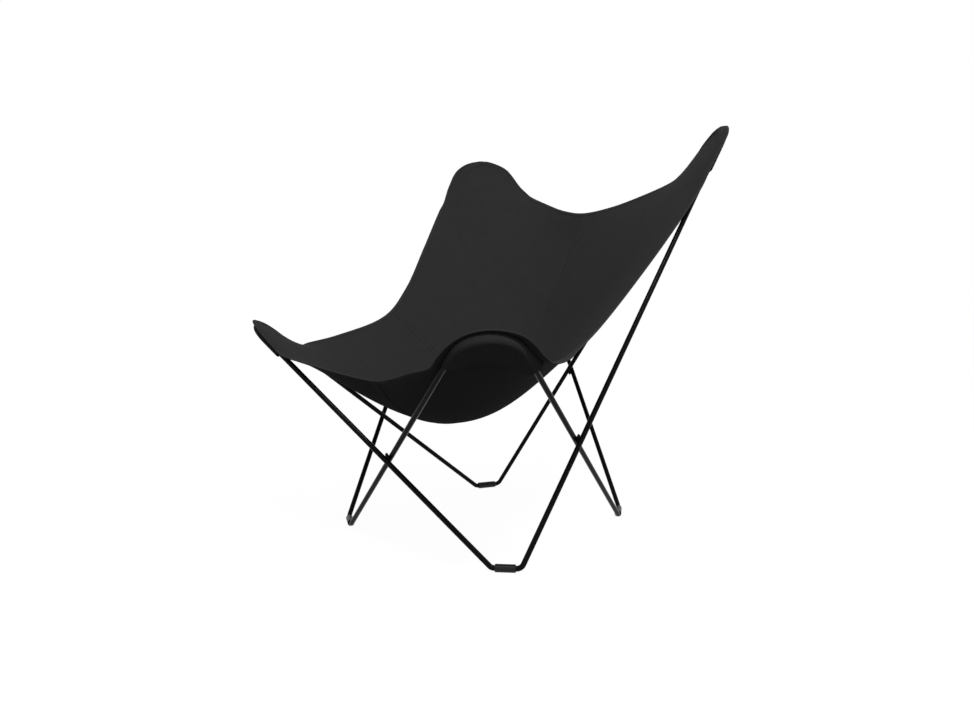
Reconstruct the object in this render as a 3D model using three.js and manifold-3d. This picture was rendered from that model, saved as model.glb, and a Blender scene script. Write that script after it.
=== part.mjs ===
// Butterfly sling chair: four bent steel bars, welded where they cross, hold up a hanging canvas
// sling by its four corner pockets.
// Lengths are millimetres and angles degrees. X runs to the viewer's right, Y to the back, Z up.
import * as THREE from "three";
import { mergeVertices } from "three/addons/utils/BufferGeometryUtils.js";
import Module from "manifold-3d";

// Steel bar and its welds
const barDiameter = 11;
const barSides = 12;
const touchGap = 0.3;
const footBendRadius = 15;
const footBendSteps = 4;
const tipSteps = 16;
const lugRadius = 9;
const lugThickness = 8;
const lugReach = 9;
const lugSides = 24;
const cutOverrun = 60;

// Foot sleeves
const sleeveWall = 2.2;
const sleeveFlat = 0.6;
const sleeveEndGap = 1;
const sleeveChamfer = 0.8;
const sleeveSides = 24;

// Each wing is a bar bent to a rounded V. Its corner is where the two straight legs would meet.
const frontWing = { x: 381.1, y: -406.6, z: 541.5, tipRadius: 64.8 };
const backWing = { x: 424.3, y: 532.1, z: 1082.4, tipRadius: 67.4 };
const frontFoot = { x: 232.7, y: -180.8, halfRail: 29, angle: 34.4 };
const backFoot = { x: 207.4, y: 285.8, halfRail: 32.6, angle: 61 };
// The two loops of the frame are moved apart by these shares of the bar, so that they pass
// each other at the welds.
const crossingShiftShares = { x: 0.468, y: 0.552 };

// Canvas
const canvasThickness = 1.4;
const bindingThickness = 1;
const bindingWidth = 9;
const bindingEndGap = 1.5;
const clothGap = 0.5;
const strapHalfWidth = 10;
const strapThickness = 1.2;
const pocketSlack = 3.5;
const facetAllowance = 0.8;
const pocketPastBar = 12;
const followShare = 0.85;
const roundShares = [0, 1 / 3, 2 / 3, 1];
const mouthShares = [1 / 3, 2 / 3, 1];
const narrowestRim = 3;
const rimShare = 0.6;
const frontMouthRise = 14;
const backMouthRise = 22;
const barClearance = barDiameter / 2 + touchGap + canvasThickness / 2 + facetAllowance;

// Hanging net
const stepsToEar = 9;
const stepsOnEar = 7;
const netSteps = stepsToEar + stepsOnEar;
const netRounds = 2500;
const loadStartShare = 264;
const loadGainShare = 744;
const loadErrorLimit = 60;
const loadPowerShare = 3;
const loadFloorShare = 0.15;
const settleRounds = 8;
const settlePasses = 12;
const shortestLink = 4;
const linkShares = [0.25, 0.5, 0.75];
const seamCross = { y: 45, guessZ: 262 };
const edgeSteps = 256;
const seamSteps = 200;
const halvingSteps = 40;
const mergeTolerance = 1e-4;
// Lines of the refined net between the edge of the canvas, or a seam, and the end of a strap.
const strapInsetSteps = 2;

// Edge of the canvas: places as shares of the corner of the nearest wing (x, y, z).
const frontEdgeShares = [[0, 0.760, 0.674], [0.210, 0.819, 0.696], [0.393, 0.877, 0.7265]];
const sideEdgeShares = [
  [0.878, -0.344, 0.3842], [0.8305, -0.211, 0.3986], [0.764, 0.0366, 0.4395],
  [0.791, 0.197, 0.5027], [0.8675, 0.3866, 0.6039], [0.9375, 0.5706, 0.710],
];
const topEdgeShares = [[0.5067, 0.934, 0.7451], [0.3535, 0.9027, 0.7215], [0.1768, 0.8595, 0.6985],
  [0, 0.8286, 0.6874]];
// Edge round each ear: across and along the wing as shares of its tip radius, then height over
// the wing as a share of the bar. Each list runs from the front or top edge to the side edge.
const frontEarShares = [
  [1.55, -0.26, 0.2], [1.36, 0.1, 0.4], [0.98, 0.64, 0.62], [0.53, 1, 0.66],
  [0.04, 1.135, 0.57], [-0.49, 1.07, 0.46], [-0.9, 0.87, 0.46], [-1.23, 0.47, 0.46],
  [-1.52, -0.04, 0.48], [-1.86, -0.43, 0.5],
];
const backEarShares = [
  [1.84, -0.59, 0.92], [1.53, -0.17, 0.67], [1.18, 0.44, 0.62], [0.94, 0.75, 0.64],
  [0.53, 1, 0.66], [-0.05, 1.14, 0.56], [-0.69, 1.02, 0.42], [-1.16, 0.67, 0.4],
  [-1.385, 0.275, 0.4], [-1.5, -0.08, 0.45], [-1.626, -0.49, 0.45], [-1.79, -1.19, 0.15],
];
const frontEarSteps = { start: 1.2, apex: 4, end: 7.9 };
const backEarSteps = { start: 0.5, apex: 5, end: 8.9 };
// Middle seam: places as shares of the back wing corner (y, z), front to back.
const seamShares = [
  [-0.5808, 0.3373], [-0.483, 0.2855], [-0.3007, 0.2448], [-0.1503, 0.2319], [0, 0.2384],
  [0.1278, 0.2661], [0.4059, 0.3742], [0.607, 0.5017], [0.7668, 0.6245], [0.8286, 0.6874],
];

const black = new THREE.MeshStandardMaterial({ color: 0x111214, roughness: 0.35, metalness: 0.6 });
const canvas = new THREE.MeshStandardMaterial({ color: 0x1d1e20, roughness: 0.95, metalness: 0 });
const tape = new THREE.MeshStandardMaterial({ color: 0x232427, roughness: 0.9, metalness: 0 });
const rubber = new THREE.MeshStandardMaterial({ color: 0x0c0c0d, roughness: 0.8, metalness: 0 });

const barRadius = barDiameter / 2;
const sleeveRadius = barRadius + touchGap + sleeveWall;
const railHeight = sleeveRadius - sleeveFlat;
const vec = (x, y, z) => new THREE.Vector3(x, y, z);
const radians = THREE.MathUtils.degToRad;
const shift = vec(crossingShiftShares.x, -crossingShiftShares.y, 0).multiplyScalar(barDiameter);
const between = (a, b, t) => a.clone().lerp(b, t);
const along = (point, direction, length) => point.clone().addScaledVector(direction, length);
const unitTo = (from, to) => to.clone().sub(from).normalize();

// Solid helpers

function signedVolume(geometry) {
  const place = geometry.getAttribute("position");
  const index = geometry.getIndex();
  const corner = [vec(0, 0, 0), vec(0, 0, 0), vec(0, 0, 0)];
  let sum = 0;
  for (let i = 0; i < index.count; i += 3) {
    corner.forEach((c, k) => c.fromBufferAttribute(place, index.getX(i + k)));
    sum += corner[0].dot(corner[1].cross(corner[2]));
  }
  return sum;
}

// Welds the vertices and makes the faces look outward.
function closed(geometry) {
  geometry.deleteAttribute("normal");
  geometry.deleteAttribute("uv");
  const welded = mergeVertices(geometry, mergeTolerance);
  if (signedVolume(welded) < 0) {
    const index = welded.getIndex();
    for (let i = 0; i < index.count; i += 3) {
      const first = index.getX(i);
      index.setX(i, index.getX(i + 1));
      index.setX(i + 1, first);
    }
  }
  welded.computeVertexNormals();
  return welded;
}

// A solid between two skins that are grids of points of the same size. Each cell is split along
// its shorter diagonal, so that pieces that lie on each other are split alike.
function skinSolid(top, under) {
  const rows = top.length;
  const columns = top[0].length;
  const points = [...top.flat(), ...under.flat()].flatMap((p) => [p.x, p.y, p.z]);
  const lower = rows * columns;
  const at = (r, c) => r * columns + c;
  const middle = (r, c) => between(top[r][c], under[r][c], 0.5);
  const faces = [];
  const quad = (a, b, c, d) => faces.push(a, b, c, a, c, d);
  for (let r = 0; r < rows - 1; r += 1) {
    for (let c = 0; c < columns - 1; c += 1) {
      const ring = [at(r, c), at(r, c + 1), at(r + 1, c + 1), at(r + 1, c)];
      const falling = middle(r, c).distanceTo(middle(r + 1, c + 1));
      const rising = middle(r, c + 1).distanceTo(middle(r + 1, c));
      if (rising < falling) ring.push(ring.shift());
      quad(...ring);
      const [first, second, third, fourth] = ring.map((k) => lower + k);
      quad(first, fourth, third, second);
    }
  }
  for (let c = 0; c < columns - 1; c += 1) {
    quad(at(0, c + 1), at(0, c), lower + at(0, c), lower + at(0, c + 1));
    const r = rows - 1;
    quad(at(r, c), at(r, c + 1), lower + at(r, c + 1), lower + at(r, c));
  }
  for (let r = 0; r < rows - 1; r += 1) {
    quad(at(r, 0), at(r + 1, 0), lower + at(r + 1, 0), lower + at(r, 0));
    const c = columns - 1;
    quad(at(r + 1, c), at(r, c), lower + at(r, c), lower + at(r + 1, c));
  }
  const geometry = new THREE.BufferGeometry();
  geometry.setAttribute("position", new THREE.Float32BufferAttribute(points, 3));
  geometry.setIndex(faces);
  return closed(geometry);
}

// Frame

// A curve that stops exactly at hand-placed stations.
class StationCurve extends THREE.Curve {
  constructor(points) {
    super();
    this.points = points;
  }

  getPoint(t) {
    const place = t * (this.points.length - 1);
    const i = Math.min(Math.floor(place), this.points.length - 2);
    return between(this.points[i], this.points[i + 1], place - i);
  }

  getPointAt(t) {
    return this.getPoint(t);
  }

  getTangentAt(t) {
    const last = this.points.length - 1;
    const i = Math.round(t * last);
    const before = i > 0 ? unitTo(this.points[i - 1], this.points[i]) : null;
    const after = i < last ? unitTo(this.points[i], this.points[i + 1]) : null;
    if (!before || !after) return (before ?? after).clone();
    return before.add(after).normalize();
  }
}

// Points of the arc that rounds a corner, from the leg towards a to the leg towards b.
function roundCorner(corner, a, b, radius, steps) {
  const toA = unitTo(corner, a);
  const toB = unitTo(corner, b);
  const middle = toA.clone().add(toB).normalize();
  const half = Math.acos(toA.dot(middle));
  const centre = along(corner, middle, radius / Math.sin(half));
  const across = toA.clone().addScaledVector(middle, -toA.dot(middle)).normalize();
  const sweep = Math.PI / 2 - half;
  return Array.from({ length: steps + 1 }, (_, k) => {
    const turn = sweep * (1 - (2 * k) / steps);
    return along(along(centre, middle, -radius * Math.cos(turn)), across, radius * Math.sin(turn));
  });
}

// The short rail on the floor that joins the legs of a loop: its middle and its way to the back.
function footRail(foot, side, loopSide) {
  const turn = radians(foot.angle);
  const inward = vec(loopSide * Math.cos(turn), Math.sin(turn), 0);
  const middle = vec(side * foot.x, foot.y, railHeight).addScaledVector(shift, loopSide);
  return { middle, inward, halfRail: foot.halfRail };
}

// Loop 1 has its front wing on the left and loop 2 on the right.
function makeLoop(loopSide) {
  const wingPlace = (wing, side) => vec(side * wing.x, wing.y, wing.z)
    .addScaledVector(shift, loopSide);
  const frontRail = footRail(frontFoot, loopSide, loopSide);
  const backRail = footRail(backFoot, -loopSide, loopSide);
  const railEnd = (rail, way) => along(rail.middle, rail.inward, way * rail.halfRail);
  return {
    front: {
      corner: wingPlace(frontWing, -loopSide), radius: frontWing.tipRadius,
      endFoot: railEnd(frontRail, -1), endRail: frontRail.middle,
      sideFoot: railEnd(backRail, -1), sideRail: backRail.middle,
    },
    back: {
      corner: wingPlace(backWing, loopSide), radius: backWing.tipRadius,
      endFoot: railEnd(backRail, 1), endRail: backRail.middle,
      sideFoot: railEnd(frontRail, 1), sideRail: frontRail.middle,
    },
    rails: { front: frontRail, back: backRail },
  };
}

// Axes of a wing: across it (towards its front or top edge), along it to the tip, and inward.
function addWingAxes(bar) {
  const toEnd = unitTo(bar.corner, bar.endFoot);
  const toSide = unitTo(bar.corner, bar.sideFoot);
  const middle = toEnd.clone().add(toSide).normalize();
  const half = Math.acos(toEnd.dot(middle));
  bar.centre = along(bar.corner, middle, bar.radius / Math.sin(half));
  bar.along = middle.clone().negate();
  bar.across = toEnd.clone().addScaledVector(middle, -toEnd.dot(middle)).normalize();
  bar.inward = toEnd.clone().cross(toSide).normalize();
  const inner = vec(0, 0, bar.corner.z).sub(bar.centre);
  if (bar.inward.dot(inner) < 0) bar.inward.negate();
  bar.toEnd = toEnd;
  bar.toSide = toSide;
  bar.half = half;
  return bar;
}

function barStations(bar) {
  const buttGap = touchGap / 2;
  const start = along(bar.sideRail, unitTo(bar.sideRail, bar.sideFoot), buttGap);
  const finish = along(bar.endRail, unitTo(bar.endRail, bar.endFoot), buttGap);
  return [
    start,
    ...roundCorner(bar.sideFoot, bar.sideRail, bar.corner, footBendRadius, footBendSteps),
    ...roundCorner(bar.corner, bar.sideFoot, bar.endFoot, bar.radius, tipSteps),
    ...roundCorner(bar.endFoot, bar.corner, bar.endRail, footBendRadius, footBendSteps),
    finish,
  ];
}

function makeBar(bar) {
  const section = new THREE.Shape(Array.from({ length: barSides }, (_, k) => {
    const turn = (2 * Math.PI * k) / barSides;
    return new THREE.Vector2(barRadius * Math.cos(turn), barRadius * Math.sin(turn));
  }));
  const points = barStations(bar);
  return closed(new THREE.ExtrudeGeometry(section, {
    steps: points.length - 1, bevelEnabled: false, extrudePath: new StationCurve(points),
  }));
}

// How far along the rail from its end corner the foot bend starts.
function bendStart(railCorner, railMiddle, wingCorner) {
  const toRail = unitTo(railCorner, railMiddle);
  const toWing = unitTo(railCorner, wingCorner);
  return footBendRadius / Math.tan(Math.acos(toRail.dot(toWing)) / 2);
}

// A sleeve round the straight middle of a foot rail, with a flat on its underside.
function makeSleeve(rail, firstBar, firstFoot, lastBar, lastFoot) {
  const first = bendStart(firstFoot, rail.middle, firstBar.corner);
  const last = bendStart(lastFoot, rail.middle, lastBar.corner);
  const from = -rail.halfRail + first + sleeveEndGap;
  const to = rail.halfRail - last - sleeveEndGap;
  const bore = barRadius + touchGap;
  const ring = (radius, flat) => Array.from({ length: sleeveSides }, (_, k) => {
    const turn = (2 * Math.PI * (k + 0.5)) / sleeveSides;
    const low = flat ? -railHeight : -Infinity;
    return [radius * Math.cos(turn), Math.max(radius * Math.sin(turn), low)];
  });
  const outer = ring(sleeveRadius / Math.cos(Math.PI / sleeveSides), true);
  const ends = ring((sleeveRadius - sleeveChamfer) / Math.cos(Math.PI / sleeveSides), true);
  const hole = ring(bore / Math.cos(Math.PI / sleeveSides), false);
  const sideways = vec(0, 0, 1).cross(rail.inward);
  const stations = [
    [hole, from], [ends, from], [outer, from + sleeveChamfer],
    [outer, to - sleeveChamfer], [ends, to], [hole, to],
  ];
  const points = stations.flatMap(([profile, distance]) => profile.flatMap(([u, w]) => {
    const p = along(along(rail.middle, rail.inward, distance), sideways, u);
    return [p.x, p.y, p.z + w];
  }));
  const faces = [];
  const count = stations.length;
  for (let s = 0; s < count; s += 1) {
    const a = s * sleeveSides;
    const b = ((s + 1) % count) * sleeveSides;
    for (let k = 0; k < sleeveSides; k += 1) {
      const next = (k + 1) % sleeveSides;
      faces.push(a + k, b + k, b + next, a + k, b + next, a + next);
    }
  }
  const geometry = new THREE.BufferGeometry();
  geometry.setAttribute("position", new THREE.Float32BufferAttribute(points, 3));
  geometry.setIndex(faces);
  return closed(geometry);
}

// Nearest places of two straight bars: the middle between them and their directions.
function crossing(fromA, toA, fromB, toB) {
  const a = unitTo(fromA, toA);
  const b = unitTo(fromB, toB);
  const normal = a.clone().cross(b).normalize();
  const gap = fromB.clone().sub(fromA);
  const alongA = gap.clone().cross(b).dot(normal) / a.clone().cross(b).dot(normal);
  const onA = along(fromA, a, alongA);
  const apart = gap.dot(normal);
  return { middle: along(onA, normal, apart / 2), a, b, normal, apart };
}

const wasm = await Module();
wasm.setup();

function toManifold(geometry) {
  const solid = closed(geometry);
  return new wasm.Manifold(new wasm.Mesh({
    numProp: 3,
    vertProperties: new Float32Array(solid.getAttribute("position").array),
    triVerts: new Uint32Array(solid.getIndex().array),
  }));
}

function fromManifold(solid) {
  const mesh = solid.getMesh();
  const geometry = new THREE.BufferGeometry();
  geometry.setAttribute("position", new THREE.BufferAttribute(mesh.vertProperties, 3));
  geometry.setIndex(new THREE.BufferAttribute(mesh.triVerts, 1));
  return closed(geometry);
}

function rod(centre, direction, radius, length, sides) {
  const geometry = new THREE.CylinderGeometry(radius, radius, length, sides);
  const turn = new THREE.Quaternion().setFromUnitVectors(vec(0, 1, 0), direction);
  geometry.applyQuaternion(turn);
  geometry.translate(centre.x, centre.y, centre.z);
  return geometry;
}

// A weld lug fills one notch of a crossing: a small round plate with both bars cut out of it.
function makeLug(cross, notch) {
  const toNotch = cross.a.clone().multiplyScalar(notch.a)
    .addScaledVector(cross.b, notch.b)
    .normalize();
  const centre = along(cross.middle, toNotch, lugReach);
  const cutRadius = (barRadius + touchGap) / Math.cos(Math.PI / lugSides);
  const cutLength = 2 * (lugRadius + cutOverrun);
  const onA = along(cross.middle, cross.normal, -cross.apart / 2);
  const onB = along(cross.middle, cross.normal, cross.apart / 2);
  const plate = toManifold(rod(centre, cross.normal, lugRadius, lugThickness, lugSides));
  const cutA = toManifold(rod(onA, cross.a, cutRadius, cutLength, lugSides));
  const cutB = toManifold(rod(onB, cross.b, cutRadius, cutLength, lugSides));
  const pieces = plate.subtract(cutA).subtract(cutB).decompose();
  pieces.sort((p, q) => q.volume() - p.volume());
  return fromManifold(pieces[0]);
}

// Canvas edge

function earPoints(bar, shares) {
  return shares.map(([side, up, height]) => {
    const p = along(bar.centre, bar.across, side * bar.radius);
    return along(along(p, bar.along, up * bar.radius), bar.inward, height * barDiameter);
  });
}

function sharePoints(shares, wing, side) {
  return shares.map(([x, y, z]) => vec(side * x * wing.x, y * wing.y, z * wing.z));
}

// Evenly spaced points of a curve between two of its control points.
function stretch(curve, from, to, cells) {
  const last = curve.points.length - 1;
  const fine = Array.from({ length: edgeSteps + 1 }, (_, k) => (
    curve.getPoint((from + ((to - from) * k) / edgeSteps) / last)));
  const run = [0];
  for (let k = 1; k < fine.length; k += 1) run.push(run[k - 1] + fine[k].distanceTo(fine[k - 1]));
  return Array.from({ length: cells + 1 }, (_, c) => {
    const target = (run[edgeSteps] * c) / cells;
    const k = run.findIndex((length, i) => i > 0 && (length >= target || i === edgeSteps));
    return between(fine[k - 1], fine[k], (target - run[k - 1]) / (run[k] - run[k - 1]));
  });
}

// The share of the way between two control points at which the curve passes a depth y.
function passing(curve, from, to, y) {
  const last = curve.points.length - 1;
  let low = from;
  let high = to;
  for (let k = 0; k < halvingSteps; k += 1) {
    const middle = (low + high) / 2;
    if (curve.getPoint(middle / last).y < y) low = middle;
    else high = middle;
  }
  return low;
}

// Half of the canvas edge on one side, as four runs that each start at a seam and end at an apex.
function edgeRuns(frontBar, backBar, side) {
  const front = sharePoints(frontEdgeShares, frontWing, side);
  const sidePoints = sharePoints(sideEdgeShares, backWing, side);
  const top = sharePoints(topEdgeShares, backWing, side);
  const frontEar = earPoints(frontBar, frontEarShares);
  const backEar = earPoints(backBar, backEarShares).reverse();
  const mirrored = vec(-front[1].x, front[1].y, front[1].z);
  const mirroredTop = vec(-top.at(-2).x, top.at(-2).y, top.at(-2).z);
  const points = [mirrored, ...front, ...frontEar, ...sidePoints, ...backEar, ...top, mirroredTop];
  const curve = new THREE.CatmullRomCurve3(points, false, "centripetal");
  const frontAt = 1 + front.length;
  const backAt = frontAt + frontEar.length + sidePoints.length;
  const backLast = backEar.length - 1;
  const marks = {
    frontMiddle: 1,
    frontStart: frontAt + frontEarSteps.start,
    frontApex: frontAt + frontEarSteps.apex,
    frontEnd: frontAt + frontEarSteps.end,
    backEnd: backAt + backLast - backEarSteps.end,
    backApex: backAt + backLast - backEarSteps.apex,
    backStart: backAt + backLast - backEarSteps.start,
    topMiddle: points.length - 2,
  };
  const seam = passing(curve, marks.frontEnd, marks.backEnd, seamCross.y);
  const run = (seamMark, earMark, apexMark) => [
    ...stretch(curve, seamMark, earMark, stepsToEar),
    ...stretch(curve, earMark, apexMark, stepsOnEar).slice(1),
  ];
  return {
    front: run(marks.frontMiddle, marks.frontStart, marks.frontApex),
    sideFront: run(seam, marks.frontEnd, marks.frontApex),
    sideBack: run(seam, marks.backEnd, marks.backApex),
    top: run(marks.topMiddle, marks.backStart, marks.backApex),
  };
}

// Hanging net: rows run from the front edge to the top edge, columns from left to right.

const netSize = 2 * netSteps;
const netSpan = backWing.y - frontWing.y;
const seamPoints = new THREE.CatmullRomCurve3(
  seamShares.map(([y, z]) => vec(0, y * backWing.y, z * backWing.z)), false, "centripetal",
).getPoints(seamSteps);

function seamHeight(y) {
  const k = Math.max(seamPoints.findIndex((p) => p.y >= y), 1);
  const a = seamPoints[k - 1];
  const b = seamPoints[k];
  return THREE.MathUtils.mapLinear(y, a.y, b.y, a.z, b.z);
}

function firstNet(runs) {
  const net = Array.from({ length: netSize + 1 }, () => Array(netSize + 1));
  for (const side of [-1, 1]) {
    const run = runs[side];
    for (let k = 0; k <= netSteps; k += 1) {
      const column = netSteps + side * k;
      const edge = netSteps + side * netSteps;
      net[0][column] = run.front[k];
      net[netSize][column] = run.top[k];
      net[netSteps - k][edge] = run.sideFront[k];
      net[netSteps + k][edge] = run.sideBack[k];
    }
  }
  const heart = vec(0, seamCross.y, seamCross.guessZ);
  for (let k = 1; k <= netSteps; k += 1) {
    const share = k / netSteps;
    for (const way of [-1, 1]) {
      const rim = netSteps + way * netSteps;
      if (k < netSteps) {
        net[netSteps + way * k][netSteps] = between(heart, net[rim][netSteps], share);
        net[netSteps][netSteps + way * k] = between(heart, net[netSteps][rim], share);
      }
    }
  }
  net[netSteps][netSteps] = heart;
  for (const down of [-1, 1]) {
    for (const side of [-1, 1]) {
      const endRow = netSteps + down * netSteps;
      const edge = netSteps + side * netSteps;
      for (let j = 1; j < netSteps; j += 1) {
        for (let i = 1; i < netSteps; i += 1) {
          const u = i / netSteps;
          const v = j / netSteps;
          const row = netSteps + down * j;
          const column = netSteps + side * i;
          const place = vec(0, 0, 0);
          place.addScaledVector(net[netSteps][column], 1 - v);
          place.addScaledVector(net[endRow][column], v);
          place.addScaledVector(net[row][netSteps], 1 - u);
          place.addScaledVector(net[row][edge], u);
          place.addScaledVector(heart, -(1 - u) * (1 - v));
          place.addScaledVector(net[netSteps][edge], -u * (1 - v));
          place.addScaledVector(net[endRow][netSteps], -(1 - u) * v);
          place.addScaledVector(net[endRow][edge], -u * v);
          net[row][column] = place;
        }
      }
    }
  }
  return net;
}

// Lifts a place off the bar of its wing, if it lies too near the bar.
function liftOff(place, bar) {
  const from = place.clone().sub(bar.centre);
  const side = from.dot(bar.across);
  const up = from.dot(bar.along);
  const height = from.dot(bar.inward);
  const cornerUp = bar.radius / Math.sin(bar.half);
  const onArc = up > bar.radius * Math.sin(bar.half);
  const legDistance = (cornerUp - up) * Math.sin(bar.half) - Math.abs(side) * Math.cos(bar.half);
  const away = onArc ? bar.radius - Math.hypot(side, up) : legDistance;
  if (Math.abs(away) >= barClearance) return 0;
  const needed = Math.sqrt(barClearance ** 2 - away ** 2);
  return Math.max(needed - height, 0);
}

function settleOnBars(net, barOf) {
  for (let row = 1; row < netSize; row += 1) {
    for (let column = 1; column < netSize; column += 1) {
      const bar = barOf(row, column);
      const place = net[row][column];
      place.addScaledVector(bar.inward, liftOff(place, bar));
      for (const [down, side] of [[0, 1], [0, -1], [1, 0], [-1, 0]]) {
        const near = net[row + down][column + side];
        const lift = Math.max(...linkShares.map((t) => liftOff(between(place, near, t), bar)));
        place.addScaledVector(bar.inward, lift);
      }
    }
  }
}

// Pulls every node to its neighbours, under a load that each row changes until the middle seam
// has its height.
function hangNet(net, barOf) {
  const pull = (a, b) => 1 / Math.max(a.distanceTo(b), shortestLink);
  const inner = [];
  const rowLoad = Array(netSize + 1).fill(loadStartShare / netSpan ** 2);
  for (let row = 1; row < netSize; row += 1) {
    for (let column = 1; column < netSize; column += 1) {
      const place = net[row][column];
      const near = [net[row][column - 1], net[row][column + 1], net[row - 1][column],
        net[row + 1][column]];
      const pulls = near.map((other) => pull(place, other));
      const total = pulls.reduce((sum, value) => sum + value, 0);
      const wide = near[0].distanceTo(near[1]) / 2;
      const deep = near[2].distanceTo(near[3]) / 2;
      const share = 1 - Math.abs(column - netSteps) / netSteps;
      const weight = wide * deep * (share ** loadPowerShare + loadFloorShare);
      inner.push({ row, column, pulls, total, weight });
    }
  }
  for (let round = 0; round < netRounds; round += 1) {
    for (const { row, column, pulls, total, weight } of inner) {
      const place = vec(0, 0, -weight * rowLoad[row]);
      place.addScaledVector(net[row][column - 1], pulls[0]);
      place.addScaledVector(net[row][column + 1], pulls[1]);
      place.addScaledVector(net[row - 1][column], pulls[2]);
      place.addScaledVector(net[row + 1][column], pulls[3]);
      net[row][column].copy(place.divideScalar(total));
    }
    if (round % settleRounds === settleRounds - 1) {
      for (let row = 1; row < netSize; row += 1) {
        const middle = net[row][netSteps];
        const error = THREE.MathUtils.clamp(middle.z - seamHeight(middle.y),
          -loadErrorLimit, loadErrorLimit);
        rowLoad[row] += (loadGainShare * error) / netSpan ** 3;
      }
      settleOnBars(net, barOf);
    }
  }
  for (let pass = 0; pass < settlePasses; pass += 1) settleOnBars(net, barOf);
}

// Adds a line of nodes beside every edge, where the bindings end, and beside both seams, where
// the straps end.
function refineNet(net) {
  const beside = (a, b, length) => between(a, b, length / a.distanceTo(b));
  const widen = (line) => {
    const middle = netSteps;
    return [
      line[0], beside(line[0], line[1], bindingWidth), ...line.slice(1, middle),
      beside(line[middle], line[middle - 1], strapHalfWidth), line[middle],
      beside(line[middle], line[middle + 1], strapHalfWidth), ...line.slice(middle + 1, -1),
      beside(line.at(-1), line.at(-2), bindingWidth), line.at(-1),
    ];
  };
  const wide = net.map(widen);
  const columns = wide[0].map((_, c) => widen(wide.map((row) => row[c])));
  const fine = columns[0].map((_, r) => columns.map((column) => column[r]));
  const last = fine.length - 1;
  for (const [r, nearR] of [[0, 1], [last, last - 1]]) {
    for (const [c, nearC] of [[0, 1], [last, last - 1]]) {
      const deepR = r === 0 ? 2 : last - 2;
      const deepC = c === 0 ? 2 : last - 2;
      fine[nearR][nearC] = beside(fine[r][c], fine[deepR][deepC], bindingWidth);
    }
  }
  return fine;
}

// Sitting-side normals. The line next to an edge takes the normal of the edge.
function netNormals(fine) {
  const last = fine.length - 1;
  const clampIndex = (k) => Math.min(Math.max(k, 0), last);
  const inset = (k) => Math.min(Math.max(k, 1), last - 1);
  const normalAt = (r, c) => {
    const rowWay = fine[clampIndex(r + 1)][c].clone().sub(fine[clampIndex(r - 1)][c]);
    const columnWay = fine[r][clampIndex(c + 1)].clone().sub(fine[r][clampIndex(c - 1)]);
    return columnWay.cross(rowWay).normalize();
  };
  const cornerNormal = (r, c) => {
    const nearR = inset(r);
    const nearC = inset(c);
    const edgeWay = fine[r][nearC].clone().sub(fine[nearR][c]);
    const inWay = fine[nearR][nearC].clone().sub(fine[r][c]);
    const normal = edgeWay.cross(inWay).normalize();
    const inner = normalAt(r === 0 ? 2 : last - 2, c === 0 ? 2 : last - 2);
    return normal.dot(inner) < 0 ? normal.negate() : normal;
  };
  const isCorner = (r, c) => (r === 0 || r === last) && (c === 0 || c === last);
  const normals = fine.map((row, r) => row.map((_, c) => (
    isCorner(r, c) ? cornerNormal(r, c) : normalAt(r, c))));
  for (let k = 0; k <= last; k += 1) {
    normals[1][k] = normals[0][k];
    normals[last - 1][k] = normals[last][k];
  }
  for (let k = 0; k <= last; k += 1) {
    normals[k][1] = normals[k][0];
    normals[k][last - 1] = normals[k][last];
  }
  for (const r of [0, last]) {
    for (const c of [0, last]) {
      normals[inset(r)][c] = normals[r][c];
      normals[r][inset(c)] = normals[r][c];
    }
  }
  return normals;
}

// Canvas pieces

function makePanel(fine, normals, rowEdge, columnEdge) {
  const last = fine.length - 1;
  const seam = last / 2;
  const rows = Array.from({ length: seam + 1 }, (_, k) => (rowEdge === 0 ? k : last - k));
  const columns = Array.from({ length: seam + 1 }, (_, k) => (columnEdge === 0 ? k : last - k));
  const edgeInset = bindingThickness + clothGap;
  const seamInset = touchGap / 2;
  const side = columnEdge === 0 ? -1 : 1;
  const down = rowEdge === 0 ? -1 : 1;
  const top = [];
  const under = [];
  for (const r of rows) {
    const topRow = [];
    const underRow = [];
    for (const c of columns) {
      const place = fine[r][c].clone();
      const onRowEdge = r === rowEdge;
      const onColumnEdge = c === columnEdge;
      const inR = onRowEdge ? r - down : r;
      const inC = onColumnEdge ? c - side : c;
      if (onRowEdge || onColumnEdge) {
        place.addScaledVector(unitTo(fine[r][c], fine[inR][inC]), edgeInset);
      }
      if (r === seam) place.addScaledVector(unitTo(fine[r][c], fine[r + down][c]), seamInset);
      if (c === seam) place.addScaledVector(unitTo(fine[r][c], fine[r][c + side]), seamInset);
      topRow.push(along(place, normals[r][c], canvasThickness / 2));
      underRow.push(along(place, normals[r][c], -canvasThickness / 2));
    }
    top.push(topRow);
    under.push(underRow);
  }
  return skinSolid(top, under);
}

// A strap under a seam. Stations are lists of net places across the seam.
function makeStrap(fine, normals, stations) {
  const reach = canvasThickness / 2 + clothGap;
  const place = (r, c, depth) => along(fine[r][c], normals[r][c], -depth);
  const top = stations.map((line) => line.map(([r, c]) => place(r, c, reach)));
  const under = stations.map((line) => line.map(([r, c]) => place(r, c, reach + strapThickness)));
  return skinSolid(top, under);
}

// Section of the folded binding at an edge station: places on its outer and inner skin.
function bindingSection(fine, normals, [r, c], [inR, inC]) {
  const edge = fine[r][c];
  const inward = unitTo(edge, fine[inR][inC]);
  const normal = normals[r][c];
  const inner = canvasThickness / 2 + clothGap;
  const outer = inner + bindingThickness;
  const at = (depth, height) => along(along(edge, inward, depth), normal, height);
  return {
    at,
    edge,
    inward,
    outerSkin: [at(bindingWidth, outer), at(0, outer), at(0, -outer)],
    innerSkin: [at(bindingWidth, inner), at(bindingThickness, inner), at(bindingThickness, -inner)],
    inner,
    outer,
  };
}

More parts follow.
